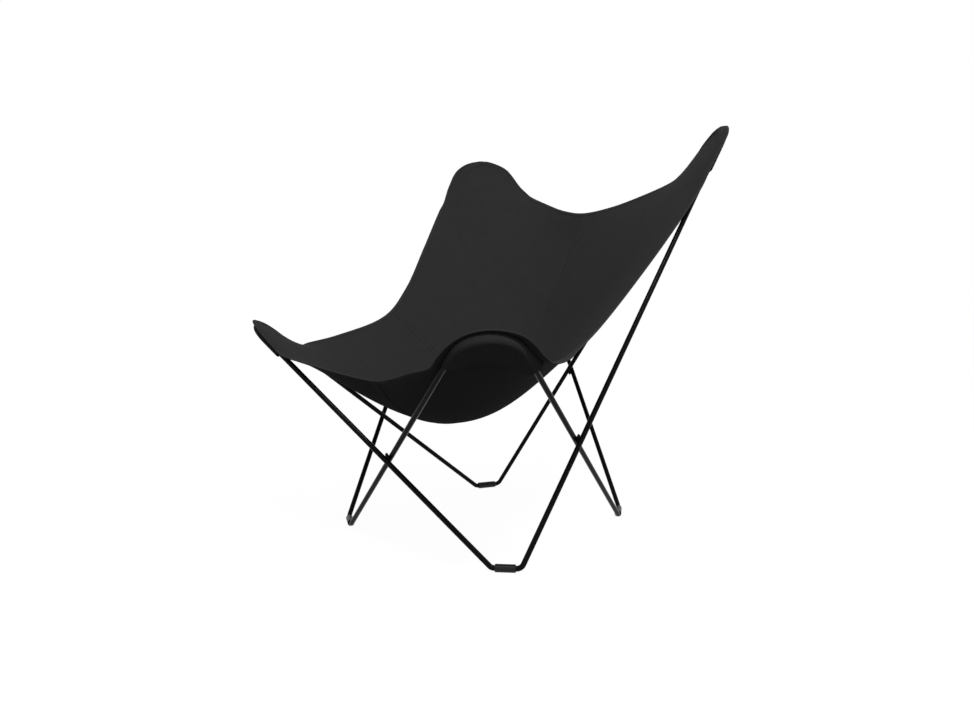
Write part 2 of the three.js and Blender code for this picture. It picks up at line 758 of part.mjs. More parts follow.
function makeBinding(sections) {
  const full = sections.map((s) => ({
    outer: [...s.outerSkin, s.at(bindingWidth, -s.outer)],
    inner: [...s.innerSkin, s.at(bindingWidth, -s.inner)],
  }));
  const trim = (end, next) => {
    const share = bindingEndGap / end.outer[1].distanceTo(next.outer[1]);
    return {
      outer: end.outer.map((p, k) => between(p, next.outer[k], share)),
      inner: end.inner.map((p, k) => between(p, next.inner[k], share)),
    };
  };
  const lines = [trim(full[0], full[1]), ...full.slice(1, -1), trim(full.at(-1), full.at(-2))];
  return skinSolid(lines.map((line) => line.outer), lines.map((line) => line.inner));
}

// Nearest place of the bar to a place of the wing, and the way out from it in the wing.
function nearestOnBar(bar, place) {
  const from = place.clone().sub(bar.centre);
  const side = from.dot(bar.across);
  const up = from.dot(bar.along);
  const startOfLegs = bar.radius * Math.sin(bar.half);
  let out;
  let onBar;
  if (up > startOfLegs * (Math.hypot(side, up) / bar.radius)) {
    out = bar.across.clone().multiplyScalar(side).addScaledVector(bar.along, up).normalize();
    onBar = along(bar.centre, out, bar.radius);
  } else {
    const leg = side > 0 ? bar.toEnd : bar.toSide;
    const flat = along(place, bar.inward, -from.dot(bar.inward));
    const reach = flat.clone().sub(bar.corner).dot(leg);
    onBar = along(bar.corner, leg, reach);
    out = unitTo(onBar, flat);
  }
  const height = from.dot(bar.inward);
  const away = place.clone().sub(onBar).dot(out);
  return { onBar, out, height, away };
}

// A corner pocket: a binding whose outer leg goes on round the bar and down to the mouth.
function makePocket(sections, bar, mouthRise) {
  const snug = barRadius + touchGap + bindingThickness / 2 + facetAllowance;
  const wrap = snug + pocketSlack;
  const half = bindingThickness / 2;
  const last = sections.length - 1;
  const rails = sections.map((s) => {
    const straight = nearestOnBar(bar, s.edge);
    const reach = -straight.away / s.inward.dot(straight.out);
    const under = nearestOnBar(bar, along(s.edge, s.inward, reach * followShare));
    return { onBar: under.onBar, out: under.out, away: straight.away };
  });
  const mouthEnd = (rail) => along(along(rail.onBar, rail.out, -pocketPastBar), bar.inward, -wrap);
  const mouthFrom = mouthEnd(rails[0]);
  const mouthTo = mouthEnd(rails[last]);
  const lines = sections.map((s, k) => {
    const share = k / last;
    const { onBar, out, away } = rails[k];
    const rim = THREE.MathUtils.clamp(away - snug * rimShare, narrowestRim, bindingWidth);
    const rimMiddle = (s.inner + s.outer) / 2;
    const rimEnd = s.at(rim, -rimMiddle).sub(onBar);
    const a = rimEnd.dot(out);
    const b = rimEnd.dot(bar.inward);
    const start = THREE.MathUtils.clamp(Math.hypot(a, b), snug, wrap);
    const touch = Math.atan2(b, a) - Math.acos(Math.min(start / Math.hypot(a, b), 1));
    const bottom = -Math.PI / 2;
    const round = roundShares.map((t) => {
      const turn = touch + (bottom - touch) * t;
      const way = out.clone().multiplyScalar(Math.cos(turn))
        .addScaledVector(bar.inward, Math.sin(turn));
      return { place: along(onBar, way, start + (wrap - start) * t), way };
    });
    const mouth = between(mouthFrom, mouthTo, share)
      .addScaledVector(bar.along, mouthRise * Math.sin(Math.PI * share));
    const down = bar.inward.clone().negate();
    const toMouth = mouthShares.map((t) => (
      { place: between(round.at(-1).place, mouth, t), way: down }));
    const sheet = [...round, ...toMouth];
    return {
      outer: [...s.outerSkin, s.at(rim, -s.outer), ...sheet.map((p) => along(p.place, p.way, half))],
      inner: [...s.innerSkin, s.at(rim, -s.inner),
        ...sheet.map((p) => along(p.place, p.way, -half))],
    };
  });
  return skinSolid(lines.map((line) => line.outer), lines.map((line) => line.inner));
}

// Assembly

const loops = { left: makeLoop(1), right: makeLoop(-1) };
const bars = {
  frontLeft: addWingAxes(loops.left.front),
  frontRight: addWingAxes(loops.right.front),
  backLeft: addWingAxes(loops.right.back),
  backRight: addWingAxes(loops.left.back),
};
const runs = {
  [-1]: edgeRuns(bars.frontLeft, bars.backLeft, -1),
  1: edgeRuns(bars.frontRight, bars.backRight, 1),
};
const barOf = (row, column) => {
  const names = row < netSteps ? ["frontLeft", "frontRight"] : ["backLeft", "backRight"];
  return bars[names[column < netSteps ? 0 : 1]];
};
const net = firstNet(runs);
hangNet(net, barOf);
const fine = refineNet(net);
const normals = netNormals(fine);
const lastLine = fine.length - 1;
const seamLine = lastLine / 2;
const earLine = stepsOnEar + 1;

const group = new THREE.Group();
const add = (name, geometry, material) => {
  const mesh = new THREE.Mesh(geometry, material);
  mesh.name = name;
  group.add(mesh);
};

add("front_left_bar", makeBar(bars.frontLeft), black);
add("front_right_bar", makeBar(bars.frontRight), black);
add("back_left_bar", makeBar(bars.backLeft), black);
add("back_right_bar", makeBar(bars.backRight), black);

const footSleeve = (loop, rail) => {
  const way = rail === "front" ? ["front", "endFoot", "back", "sideFoot"]
    : ["front", "sideFoot", "back", "endFoot"];
  const [first, firstFoot, last, lastFoot] = way;
  return makeSleeve(loop.rails[rail], loop[first], loop[first][firstFoot],
    loop[last], loop[last][lastFoot]);
};
add("front_right_foot_sleeve", footSleeve(loops.left, "front"), rubber);
add("back_left_foot_sleeve", footSleeve(loops.left, "back"), rubber);
add("front_left_foot_sleeve", footSleeve(loops.right, "front"), rubber);
add("back_right_foot_sleeve", footSleeve(loops.right, "back"), rubber);

const legs = (bar, foot) => [bar[foot], bar.corner];
const upNotch = { a: 1, b: 1 };
const downNotch = { a: -1, b: -1 };
const frontCross = crossing(...legs(bars.frontLeft, "endFoot"), ...legs(bars.frontRight, "endFoot"));
const backCross = crossing(...legs(bars.backLeft, "endFoot"), ...legs(bars.backRight, "endFoot"));
const leftCross = crossing(...legs(bars.backLeft, "sideFoot"), ...legs(bars.frontLeft, "sideFoot"));
const rightCross = crossing(...legs(bars.backRight, "sideFoot"),
  ...legs(bars.frontRight, "sideFoot"));
add("front_crossing_weld", makeLug(frontCross, upNotch), black);
add("back_crossing_weld", makeLug(backCross, downNotch), black);
add("left_crossing_weld", makeLug(leftCross, upNotch), black);
add("right_crossing_weld", makeLug(rightCross, upNotch), black);

add("seat_left_panel", makePanel(fine, normals, 0, 0), canvas);
add("seat_right_panel", makePanel(fine, normals, 0, lastLine), canvas);
add("back_left_panel", makePanel(fine, normals, lastLine, 0), canvas);
add("back_right_panel", makePanel(fine, normals, lastLine, lastLine), canvas);

// Every station of the edge: its own place in the net and the place one line inward.
const inwardOf = (k) => Math.min(Math.max(k, 1), lastLine - 1);
const section = (r, c) => bindingSection(fine, normals, [r, c], [inwardOf(r), inwardOf(c)]);
const span = (from, to) => Array.from({ length: Math.abs(to - from) + 1 }, (_, k) => (
  from + k * Math.sign(to - from)));
const rowSections = (row, from, to) => span(from, to).map((c) => section(row, c));
const columnSections = (column, from, to) => span(from, to).map((r) => section(r, column));
const farEar = lastLine - earLine;
const addPocket = (name, bar, row, column, mouthRise) => {
  const nearRow = row === 0 ? earLine : farEar;
  const nearColumn = column === 0 ? earLine : farEar;
  const sections = [...rowSections(row, nearColumn, column),
    ...columnSections(column, row, nearRow).slice(1)];
  add(name, makePocket(sections, bar, mouthRise), canvas);
};
addPocket("front_left_pocket", bars.frontLeft, 0, 0, frontMouthRise);
addPocket("front_right_pocket", bars.frontRight, 0, lastLine, frontMouthRise);
addPocket("back_left_pocket", bars.backLeft, lastLine, 0, backMouthRise);
addPocket("back_right_pocket", bars.backRight, lastLine, lastLine, backMouthRise);

add("front_edge_binding", makeBinding(rowSections(0, earLine, farEar)), tape);
add("top_edge_binding", makeBinding(rowSections(lastLine, earLine, farEar)), tape);
add("left_edge_binding", makeBinding(columnSections(0, earLine, farEar)), tape);
add("right_edge_binding", makeBinding(columnSections(lastLine, earLine, farEar)), tape);

// Straps stop one line short of the bindings, and the cross straps one line short of the middle.
const strapRows = span(strapInsetSteps, lastLine - strapInsetSteps);
const middleStations = strapRows.map((r) => [-1, 0, 1].map((k) => [r, seamLine + k]));
const crossStations = (from, to) => span(from, to).map((c) => [-1, 0, 1].map((k) => (
  [seamLine + k, c])));
add("middle_seam_strap", makeStrap(fine, normals, middleStations), tape);
add("left_cross_strap", makeStrap(fine, normals,
  crossStations(strapInsetSteps, seamLine - strapInsetSteps)), tape);
add("right_cross_strap", makeStrap(fine, normals,
  crossStations(seamLine + strapInsetSteps, lastLine - strapInsetSteps)), tape);

// The origin is the middle of the floor area that the chair covers.
const box = new THREE.Box3().setFromObject(group);
const middle = box.getCenter(vec(0, 0, 0));
for (const mesh of group.children) {
  mesh.geometry.translate(-middle.x, -middle.y, -box.min.z);
}

export default group;
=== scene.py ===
"""Looks of the butterfly sling chair: steel bars, canvas sling with seams, hems and corner pockets.

Lengths are millimetres until a mesh is made, and angles degrees. X runs to the viewer's right,
Y to the back and Z up, as in the frame.
"""
import math

import bpy
import numpy as np
from mathutils import Matrix, Vector
from mathutils.bvhtree import BVHTree


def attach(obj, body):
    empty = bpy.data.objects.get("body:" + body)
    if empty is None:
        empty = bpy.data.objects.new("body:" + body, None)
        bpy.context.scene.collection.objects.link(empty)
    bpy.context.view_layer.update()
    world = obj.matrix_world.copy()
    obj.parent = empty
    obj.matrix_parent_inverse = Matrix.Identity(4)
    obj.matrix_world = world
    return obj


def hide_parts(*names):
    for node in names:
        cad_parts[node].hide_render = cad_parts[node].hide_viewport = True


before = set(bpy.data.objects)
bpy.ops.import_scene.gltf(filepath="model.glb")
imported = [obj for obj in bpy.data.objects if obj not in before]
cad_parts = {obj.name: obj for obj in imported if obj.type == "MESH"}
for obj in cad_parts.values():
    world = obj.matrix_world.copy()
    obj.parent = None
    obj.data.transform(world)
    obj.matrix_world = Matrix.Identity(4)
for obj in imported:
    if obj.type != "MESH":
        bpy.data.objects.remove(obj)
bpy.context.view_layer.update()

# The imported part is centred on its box, which moves the source's origin by this much.
FRAME_SHIFT_Y = -63.0785

# Steel bar
BAR_RADIUS = 5.5
TOUCH_GAP = 0.3
FOOT_BEND_RADIUS = 15
FOOT_BEND_STEPS = 10
TIP_STEPS = 48
BAR_SIDES = 32
BUTT_GAP = 0.15
RAIL_HEIGHT = 7.4
SHIFT = np.array([0.468, -0.552, 0.0]) * 2 * BAR_RADIUS

FRONT_WING = dict(x=381.1, y=-406.6, z=541.5, radius=64.8)
BACK_WING = dict(x=424.3, y=532.1, z=1082.4, radius=67.4)
FRONT_FOOT = dict(x=232.7, y=-180.8, half_rail=29, angle=34.4)
BACK_FOOT = dict(x=207.4, y=285.8, half_rail=32.6, angle=61)

# Canvas
CLOTH_HALF = 0.55
BAR_CLEARANCE = BAR_RADIUS + TOUCH_GAP + CLOTH_HALF + 0.3
EDGE_INSET = 1.2
HEM_WIDTH = 9
HEM_GAP = 0.08
HEM_THICKNESS = 0.8
STITCH_DEPTH = 7.3
SEAM_LINES = (0, 2.4, 3.4, 4.4, 5.4, 6.3, 7.2)
SEAM_RISE = (0.35, 0.35, 0.3, 0, 0.26, 0.2, 0)
SEAM_STITCH = 4.4
# Painted shade along each seam line: the stitch groove is darkened to stand in for the shadow in it,
# and the raised band at the seam is painted a little lighter. These go into the same surface
# attribute as the wear of the hems.
SEAM_SHADE = (0.3, 0.3, 0, -2.2, 0, 0, 0)
STRAP_THICKNESS = 1.0
STITCH_LENGTH = 2.6
STITCH_PITCH = 3.6
STITCH_RADIUS = 0.34
THREAD_PITCH = 0.9

# Hanging net
STEPS_TO_EAR = 9
STEPS_ON_EAR = 7
NET_LEVELS = ((1, 2500), (2, 500), (4, 400))
LOAD_START = 264
LOAD_GAIN = 744
LOAD_ERROR_LIMIT = 60
LOAD_POWER = 3
LOAD_FLOOR = 0.15
SETTLE_ROUNDS = 8
SHORTEST_LINK = 4
SEAM_CROSS = dict(y=45, guess_z=262)
CURVE_STEPS = 1024
# How many net rows further back the cross seam runs at the middle seam than the middle row.
SEAM_BACK = 7.5

# Edge of the canvas: places as shares of the corner of the nearest wing (x, y, z).
FRONT_EDGE = [(0, 0.760, 0.674), (0.210, 0.819, 0.696), (0.393, 0.877, 0.7265)]
SIDE_EDGE = [
    (0.878, -0.344, 0.3842), (0.8305, -0.211, 0.3986), (0.764, 0.0366, 0.4395),
    (0.791, 0.197, 0.5027), (0.8675, 0.3866, 0.6039), (0.9375, 0.5706, 0.710),
]
TOP_EDGE = [(0.5067, 0.934, 0.7451), (0.3535, 0.9027, 0.7215), (0.1768, 0.8595, 0.6985),
            (0, 0.8286, 0.6874)]
# Edge round each ear: across and along the wing as shares of its tip radius, then height over
# the wing as a share of the bar. Each list runs from the front or top edge to the side edge.
FRONT_EAR = [
    (1.55, -0.26, 0.2), (1.385, 0.1, 0.2), (1.025, 0.67, 0.22), (0.566, 1.068, 0.16),
    (0.043, 1.225, 0.07), (-0.522, 1.14, -0.04), (-0.933, 0.902, -0.04), (-1.266, 0.484, 0),
    (-1.55, -0.04, 0.1), (-1.86, -0.43, 0.35),
]
BACK_EAR = [
    (1.84, -0.59, 0.92), (1.53, -0.17, 0.5), (1.18, 0.44, 0.3), (0.94, 0.75, 0.2),
    (0.53, 1.0, 0.05), (-0.05, 1.14, -0.1), (-0.69, 1.02, -0.25), (-1.16, 0.67, -0.25),
    (-1.385, 0.275, -0.15), (-1.5, -0.08, 0), (-1.626, -0.49, 0.15), (-1.79, -1.19, 0.15),
]
FRONT_EAR_STEPS = dict(start=1.2, apex=4, end=7.9)
BACK_EAR_STEPS = dict(start=0.5, apex=5, end=8.9)
# Middle seam: places as shares of the back wing corner (y, z), front to back.
SEAM = [
    (-0.5808, 0.3373), (-0.483, 0.2855), (-0.3007, 0.2448), (-0.1503, 0.2319), (0, 0.2384),
    (0.1278, 0.2661), (0.4059, 0.3742), (0.607, 0.5017), (0.7668, 0.6245), (0.8286, 0.6874),
]


# Vector helpers

def vec(*values):
    return np.array(values, float)


def unit(v):
    v = np.asarray(v, float)
    return v / np.maximum(np.linalg.norm(v, axis=-1, keepdims=True), 1e-9)


def dot(a, b):
    return np.sum(a * b, axis=-1)


# Frame of bent bars

def foot_rail(foot, side, loop_side):
    turn = math.radians(foot["angle"])
    inward = vec(loop_side * math.cos(turn), math.sin(turn), 0)
    middle = vec(side * foot["x"], foot["y"], RAIL_HEIGHT) + SHIFT * loop_side
    return dict(middle=middle, inward=inward, half=foot["half_rail"])


def make_bar_lines():
    """The four bars, each with its corner, its two foot corners and its wing's axes."""
    bars = {}
    names = {(1, "front"): "front_left", (-1, "front"): "front_right",
             (-1, "back"): "back_left", (1, "back"): "back_right"}
    for loop_side in (1, -1):
        front_rail = foot_rail(FRONT_FOOT, loop_side, loop_side)
        back_rail = foot_rail(BACK_FOOT, -loop_side, loop_side)
        rail_end = lambda rail, way: rail["middle"] + rail["inward"] * way * rail["half"]
        place = lambda wing, side: vec(side * wing["x"], wing["y"], wing["z"]) + SHIFT * loop_side
        bars[names[loop_side, "front"]] = dict(
            corner=place(FRONT_WING, -loop_side), radius=FRONT_WING["radius"],
            end_foot=rail_end(front_rail, -1), end_rail=front_rail["middle"],
            side_foot=rail_end(back_rail, -1), side_rail=back_rail["middle"])
        bars[names[loop_side, "back"]] = dict(
            corner=place(BACK_WING, loop_side), radius=BACK_WING["radius"],
            end_foot=rail_end(back_rail, 1), end_rail=back_rail["middle"],
            side_foot=rail_end(front_rail, 1), side_rail=front_rail["middle"])
    for bar in bars.values():
        to_end = unit(bar["end_foot"] - bar["corner"])
        to_side = unit(bar["side_foot"] - bar["corner"])
        middle = unit(to_end + to_side)
        half = math.acos(dot(to_end, middle))
        bar["centre"] = bar["corner"] + middle * bar["radius"] / math.sin(half)
        bar["along"] = -middle
        bar["across"] = unit(to_end - middle * dot(to_end, middle))
        bar["inward"] = unit(np.cross(to_end, to_side))
        if dot(bar["inward"], vec(0, 0, bar["corner"][2]) - bar["centre"]) < 0:
            bar["inward"] = -bar["inward"]
        bar.update(to_end=to_end, to_side=to_side, half=half)
    return bars


def round_corner(corner, a, b, radius, steps):
    to_a = unit(a - corner)
    to_b = unit(b - corner)
    middle = unit(to_a + to_b)
    half = math.acos(dot(to_a, middle))
    centre = corner + middle * radius / math.sin(half)
    across = unit(to_a - middle * dot(to_a, middle))
    sweep = math.pi / 2 - half
    turns = sweep * (1 - 2 * np.arange(steps + 1) / steps)
    return [centre - middle * radius * math.cos(t) + across * radius * math.sin(t) for t in turns]


def bar_path(bar):
    start = bar["side_rail"] + unit(bar["side_foot"] - bar["side_rail"]) * BUTT_GAP
    finish = bar["end_rail"] + unit(bar["end_foot"] - bar["end_rail"]) * BUTT_GAP
    return np.array([
        start,
        *round_corner(bar["side_foot"], bar["side_rail"], bar["corner"], FOOT_BEND_RADIUS,
                      FOOT_BEND_STEPS),
        *round_corner(bar["corner"], bar["side_foot"], bar["end_foot"], bar["radius"], TIP_STEPS),
        *round_corner(bar["end_foot"], bar["corner"], bar["end_rail"], FOOT_BEND_RADIUS,
                      FOOT_BEND_STEPS),
        finish,
    ])


# Canvas edge

class SmoothCurve:
    """A centripetal curve through points, read by the number of the point."""

    def __init__(self, points):
        self.points = np.array(points, float)

    def at(self, place):
        place = np.clip(np.atleast_1d(np.asarray(place, float)), 0, len(self.points) - 1)
        first = np.minimum(np.floor(place).astype(int), len(self.points) - 2)
        t = (place - first)[:, None]
        padded = np.vstack([2 * self.points[0] - self.points[1], self.points,
                            2 * self.points[-1] - self.points[-2]])
        p0, p1, p2, p3 = (padded[first + k] for k in range(4))
        d0, d1, d2 = (np.sqrt(np.linalg.norm(b - a, axis=1, keepdims=True))
                      for a, b in ((p0, p1), (p1, p2), (p2, p3)))
        t1 = ((p1 - p0) / d0 - (p2 - p0) / (d0 + d1) + (p2 - p1) / d1) * d1
        t2 = ((p2 - p1) / d1 - (p3 - p1) / (d1 + d2) + (p3 - p2) / d2) * d1
        return (p1 + t1 * t + (-3 * p1 + 3 * p2 - 2 * t1 - t2) * t ** 2
                + (2 * p1 - 2 * p2 + t1 + t2) * t ** 3)

    def stretch(self, start, stop, cells):
        """Evenly spaced points between two places of the curve."""
        fine = self.at(np.linspace(start, stop, CURVE_STEPS + 1))
        run = run_along(fine)
        targets = np.linspace(0, run[-1], cells + 1)
        return np.stack([np.interp(targets, run, fine[:, k]) for k in range(3)], axis=1)


def run_along(points):
    steps = np.linalg.norm(np.diff(points, axis=0), axis=1)
    return np.concatenate([[0], np.cumsum(steps)])


def share_points(shares, wing, side):
    return [vec(side * x * wing["x"], y * wing["y"], z * wing["z"]) for x, y, z in shares]


def ear_points(bar, shares):
    return [bar["centre"] + bar["across"] * side * bar["radius"]
            + bar["along"] * up * bar["radius"] + bar["inward"] * height * 2 * BAR_RADIUS
            for side, up, height in shares]


def edge_curve(bars, side):
    """Half of the canvas edge, and the places on it where its runs meet."""
    name = "left" if side < 0 else "right"
    front = share_points(FRONT_EDGE, FRONT_WING, side)
    sides = share_points(SIDE_EDGE, BACK_WING, side)
    top = share_points(TOP_EDGE, BACK_WING, side)
    front_ear = ear_points(bars["front_" + name], FRONT_EAR)
    back_ear = ear_points(bars["back_" + name], BACK_EAR)[::-1]
    flip = vec(-1, 1, 1)
    points = [front[1] * flip, *front, *front_ear, *sides, *back_ear, *top, top[-2] * flip]
    curve = SmoothCurve(points)
    front_at = 1 + len(front)
    back_at = front_at + len(front_ear) + len(sides) + len(back_ear) - 1
    marks = dict(
        front_middle=1, top_middle=len(points) - 2,
        front_start=front_at + FRONT_EAR_STEPS["start"],
        front_apex=front_at + FRONT_EAR_STEPS["apex"],
        front_end=front_at + FRONT_EAR_STEPS["end"],
        back_end=back_at - BACK_EAR_STEPS["end"],
        back_apex=back_at - BACK_EAR_STEPS["apex"],
        back_start=back_at - BACK_EAR_STEPS["start"])
    tries = np.linspace(marks["front_end"], marks["back_end"], 20001)
    passed = curve.at(tries)[:, 1] < SEAM_CROSS["y"]
    marks["seam"] = tries[np.nonzero(passed)[0][-1]]
    return curve, marks


def edge_runs(edge, finer):
    curve, marks = edge
    steps = STEPS_TO_EAR * finer, STEPS_ON_EAR * finer

    def run(seam, ear, apex):
        return np.vstack([curve.stretch(marks[seam], marks[ear], steps[0]),
                          curve.stretch(marks[ear], marks[apex], steps[1])[1:]])
    return dict(front=run("front_middle", "front_start", "front_apex"),
                side_front=run("seam", "front_end", "front_apex"),
                side_back=run("seam", "back_end", "back_apex"),
                top=run("top_middle", "back_start", "back_apex"))


# Hanging net: rows run from the front edge to the top edge, columns from left to right.

def first_net(runs):
    """A net stretched between the edges and two straight seams."""
    steps = len(runs[1]["front"]) - 1
    net = np.zeros((2 * steps + 1, 2 * steps + 1, 3))
    for side in (-1, 1):
        run = runs[side]
        columns = steps + side * np.arange(steps + 1)
        edge = steps + side * steps
        net[0, columns] = run["front"]
        net[-1, columns] = run["top"]
        net[steps - np.arange(steps + 1), edge] = run["side_front"]
        net[steps + np.arange(steps + 1), edge] = run["side_back"]
    heart = vec(0, SEAM_CROSS["y"], SEAM_CROSS["guess_z"])
    share = (np.arange(1, steps) / steps)[:, None]
    for way in (-1, 1):
        rim = steps + way * steps
        line = steps + way * np.arange(1, steps)
        net[line, steps] = heart * (1 - share) + net[rim, steps] * share
        net[steps, line] = heart * (1 - share) + net[steps, rim] * share
    net[steps, steps] = heart
    inner = np.arange(1, steps)
    u = (inner / steps)[None, :, None]
    v = (inner / steps)[:, None, None]
    for down in (-1, 1):
        for side in (-1, 1):
            end_row = steps + down * steps
            edge = steps + side * steps
            rows = steps + down * inner
            columns = steps + side * inner
            patch = (net[steps, columns][None] * (1 - v) + net[end_row, columns][None] * v
                     + net[rows, steps][:, None] * (1 - u) + net[rows, edge][:, None] * u
                     - heart * (1 - u) * (1 - v) - net[steps, edge] * u * (1 - v)
                     - net[end_row, steps] * (1 - u) * v - net[end_row, edge] * u * v)
            net[np.ix_(rows, columns)] = patch
    return net


def lift_off(places, bar, clearance):
    """How far to move places inward so that they clear the bar of their wing."""
    start = places - bar["centre"]
    side = start @ bar["across"]
    up = start @ bar["along"]
    height = start @ bar["inward"]
    corner_up = bar["radius"] / math.sin(bar["half"])
    on_arc = up > bar["radius"] * math.sin(bar["half"])
    leg = (corner_up - up) * math.sin(bar["half"]) - np.abs(side) * math.cos(bar["half"])
    away = np.where(on_arc, bar["radius"] - np.hypot(side, up), leg)
    needed = np.sqrt(np.maximum(clearance ** 2 - away ** 2, 0))
    return np.where(np.abs(away) < clearance, np.maximum(needed - height, 0), 0)


def quarters(size):
    """The bar of each quarter of the net, with its rows and columns."""
    middle = size // 2
    low, high = slice(1, middle), slice(middle, size)
    return {"front_left": (low, low), "front_right": (low, high),
            "back_left": (high, low), "back_right": (high, high)}


def settle(net, bars):
    links = (0.25, 0.5, 0.75)
    for name, (rows, columns) in quarters(len(net) - 1).items():
        bar = bars[name]
        part = net[rows, columns]
        lift = lift_off(part, bar, BAR_CLEARANCE)
        for down, side in ((0, 1), (0, -1), (1, 0), (-1, 0)):
            near = net[rows.start + down:rows.stop + down, columns.start + side:columns.stop + side]
            for t in links:
                lift = np.maximum(lift, lift_off(part * (1 - t) + near * t, bar, BAR_CLEARANCE))
        part += lift[..., None] * bar["inward"]


def hang_net(net, shape, bars, rounds, finer, load):
    """Pulls every node to its neighbours under a load that follows the middle seam's height."""
    last = len(net) - 1
    middle = last // 2
    span = BACK_WING["y"] - FRONT_WING["y"]
    link = SHORTEST_LINK / finer
    pull = lambda a, b: 1 / np.maximum(np.linalg.norm(a - b, axis=-1), link)
    heart = shape[1:-1, 1:-1]
    near = [shape[1:-1, :-2], shape[1:-1, 2:], shape[:-2, 1:-1], shape[2:, 1:-1]]
    pulls = [pull(heart, other)[..., None] for other in near]
    total = sum(pulls)
    wide = np.linalg.norm(near[0] - near[1], axis=-1) / 2
    deep = np.linalg.norm(near[2] - near[3], axis=-1) / 2
    share = 1 - np.abs(np.arange(1, last) - middle) / middle
    weight = wide * deep * (share[None] ** LOAD_POWER + LOAD_FLOOR)
    row, column = np.indices(weight.shape)
    odd = (((row + column) % 2) == 1)[..., None]
    seam = SmoothCurve([vec(0, y * BACK_WING["y"], z * BACK_WING["z"]) for y, z in SEAM])
    seam_points = seam.at(np.linspace(0, len(SEAM) - 1, 201))
    for turn in range(rounds):
        for colour in (odd, ~odd):
            place = (net[1:-1, :-2] * pulls[0] + net[1:-1, 2:] * pulls[1]
                     + net[:-2, 1:-1] * pulls[2] + net[2:, 1:-1] * pulls[3])
            place[..., 2] -= weight * load[1:-1, None]
            net[1:-1, 1:-1] = np.where(colour, place / total, net[1:-1, 1:-1])
        if turn % SETTLE_ROUNDS == SETTLE_ROUNDS - 1:
            line = net[1:-1, middle]
            error = line[:, 2] - np.interp(line[:, 1], seam_points[:, 1], seam_points[:, 2])
            error = np.clip(error, -LOAD_ERROR_LIMIT, LOAD_ERROR_LIMIT)
            load[1:-1] += finer * LOAD_GAIN * error / span ** 3
            settle(net, bars)
    for _ in range(4):
        settle(net, bars)
    return net, load


def upsample(grid):
    """Doubles a grid along both ways with a smooth curve through its nodes."""
    for axis in (0, 1):
        g = np.moveaxis(grid, axis, 0)
        padded = np.concatenate([2 * g[:1] - g[1:2], g, 2 * g[-1:] - g[-2:-1]])
        between = (-padded[:-3] + 9 * padded[1:-2] + 9 * padded[2:-1] - padded[3:]) / 16
        out = np.zeros((2 * len(g) - 1, *g.shape[1:]))
        out[0::2] = g
        out[1::2] = between
        grid = np.moveaxis(out, 0, axis)
    return grid


def make_sling(bars):
    edges = {side: edge_curve(bars, side) for side in (-1, 1)}
    span = BACK_WING["y"] - FRONT_WING["y"]
    net = load = None
    for finer, rounds in NET_LEVELS:
        shape = first_net({side: edge_runs(edges[side], finer) for side in (-1, 1)})
        if net is None:
            net = shape.copy()
            load = np.full(len(net), LOAD_START / span ** 2)
        else:
            inner = upsample(net)
            net = shape.copy()
            net[1:-1, 1:-1] = inner[1:-1, 1:-1]
            load = 2 * np.interp(np.arange(len(net)) / 2, np.arange(len(load)), load)
        net, load = hang_net(net, shape, bars, rounds, finer, load)
    return net


def net_normals(grid):
    """Sitting-side normals, from the faces round each node."""
    faces = np.cross(grid[1:, 1:] - grid[:-1, :-1], grid[1:, :-1] - grid[:-1, 1:])
    total = np.zeros_like(grid)
    for rows in (slice(0, -1), slice(1, None)):
        for columns in (slice(0, -1), slice(1, None)):
            total[rows, columns] += faces
    return unit(total)


def with_border(grid):
    """A grid with one more line on every side, drawn on from the last two."""
    for axis in (0, 1):
        g = np.moveaxis(grid, axis, 0)
        g = np.concatenate([2 * g[:1] - g[1:2], g, 2 * g[-1:] - g[-2:-1]])
        grid = np.moveaxis(g, 0, axis)
    return grid


def blend_weights(t):
    return (-0.5 * t + t ** 2 - 0.5 * t ** 3, 1 - 2.5 * t ** 2 + 1.5 * t ** 3,
            0.5 * t + 2 * t ** 2 - 1.5 * t ** 3, -0.5 * t ** 2 + 0.5 * t ** 3)


class Sling:
    """The middle surface of the canvas, read at any row and column of its net."""

    def __init__(self, net):
        self.net = net
        self.last = len(net) - 1
        self.middle = self.last // 2
        self.normals = net_normals(net)
        self.padded_net = with_border(net)
        self.padded_normals = with_border(self.normals)
        verts = [Vector(p) for p in net.reshape(-1, 3)]
        n = self.last + 1
        quads = [(r * n + c, r * n + c + 1, (r + 1) * n + c + 1, (r + 1) * n + c)
                 for r in range(self.last) for c in range(self.last)]
        self.tree = BVHTree.FromPolygons(verts, quads)

    def read(self, field, rows, columns):
        """Smooth reading of a field on the net."""
        rows, columns = np.broadcast_arrays(np.clip(rows, 0, self.last),
                                            np.clip(columns, 0, self.last))
        r0 = np.minimum(np.floor(rows).astype(int), self.last - 1)
        c0 = np.minimum(np.floor(columns).astype(int), self.last - 1)
        result = 0
        for i, wr in enumerate(blend_weights(rows - r0)):
            for j, wc in enumerate(blend_weights(columns - c0)):
                result = result + (wr * wc)[..., None] * field[r0 + i, c0 + j]
        return result

    def place(self, rows, columns):
        return self.read(self.padded_net, rows, columns)

    def normal(self, rows, columns):
        return unit(self.read(self.padded_normals, rows, columns))

    def nearest(self, point):
        place, normal, face, _ = self.tree.find_nearest(Vector(point))
        return np.array(place), np.array(normal)


def with_seam_back(net):
    """The same canvas with its cross seam bowed to the back between the side edges."""
    flat = Sling(net)
    row, column = np.indices(net.shape[:2]).astype(float)
    within = lambda line: 1 - ((line - flat.middle) / flat.middle) ** 2
    return flat.place(row + SEAM_BACK * within(row) * within(column), column)


# Meshes

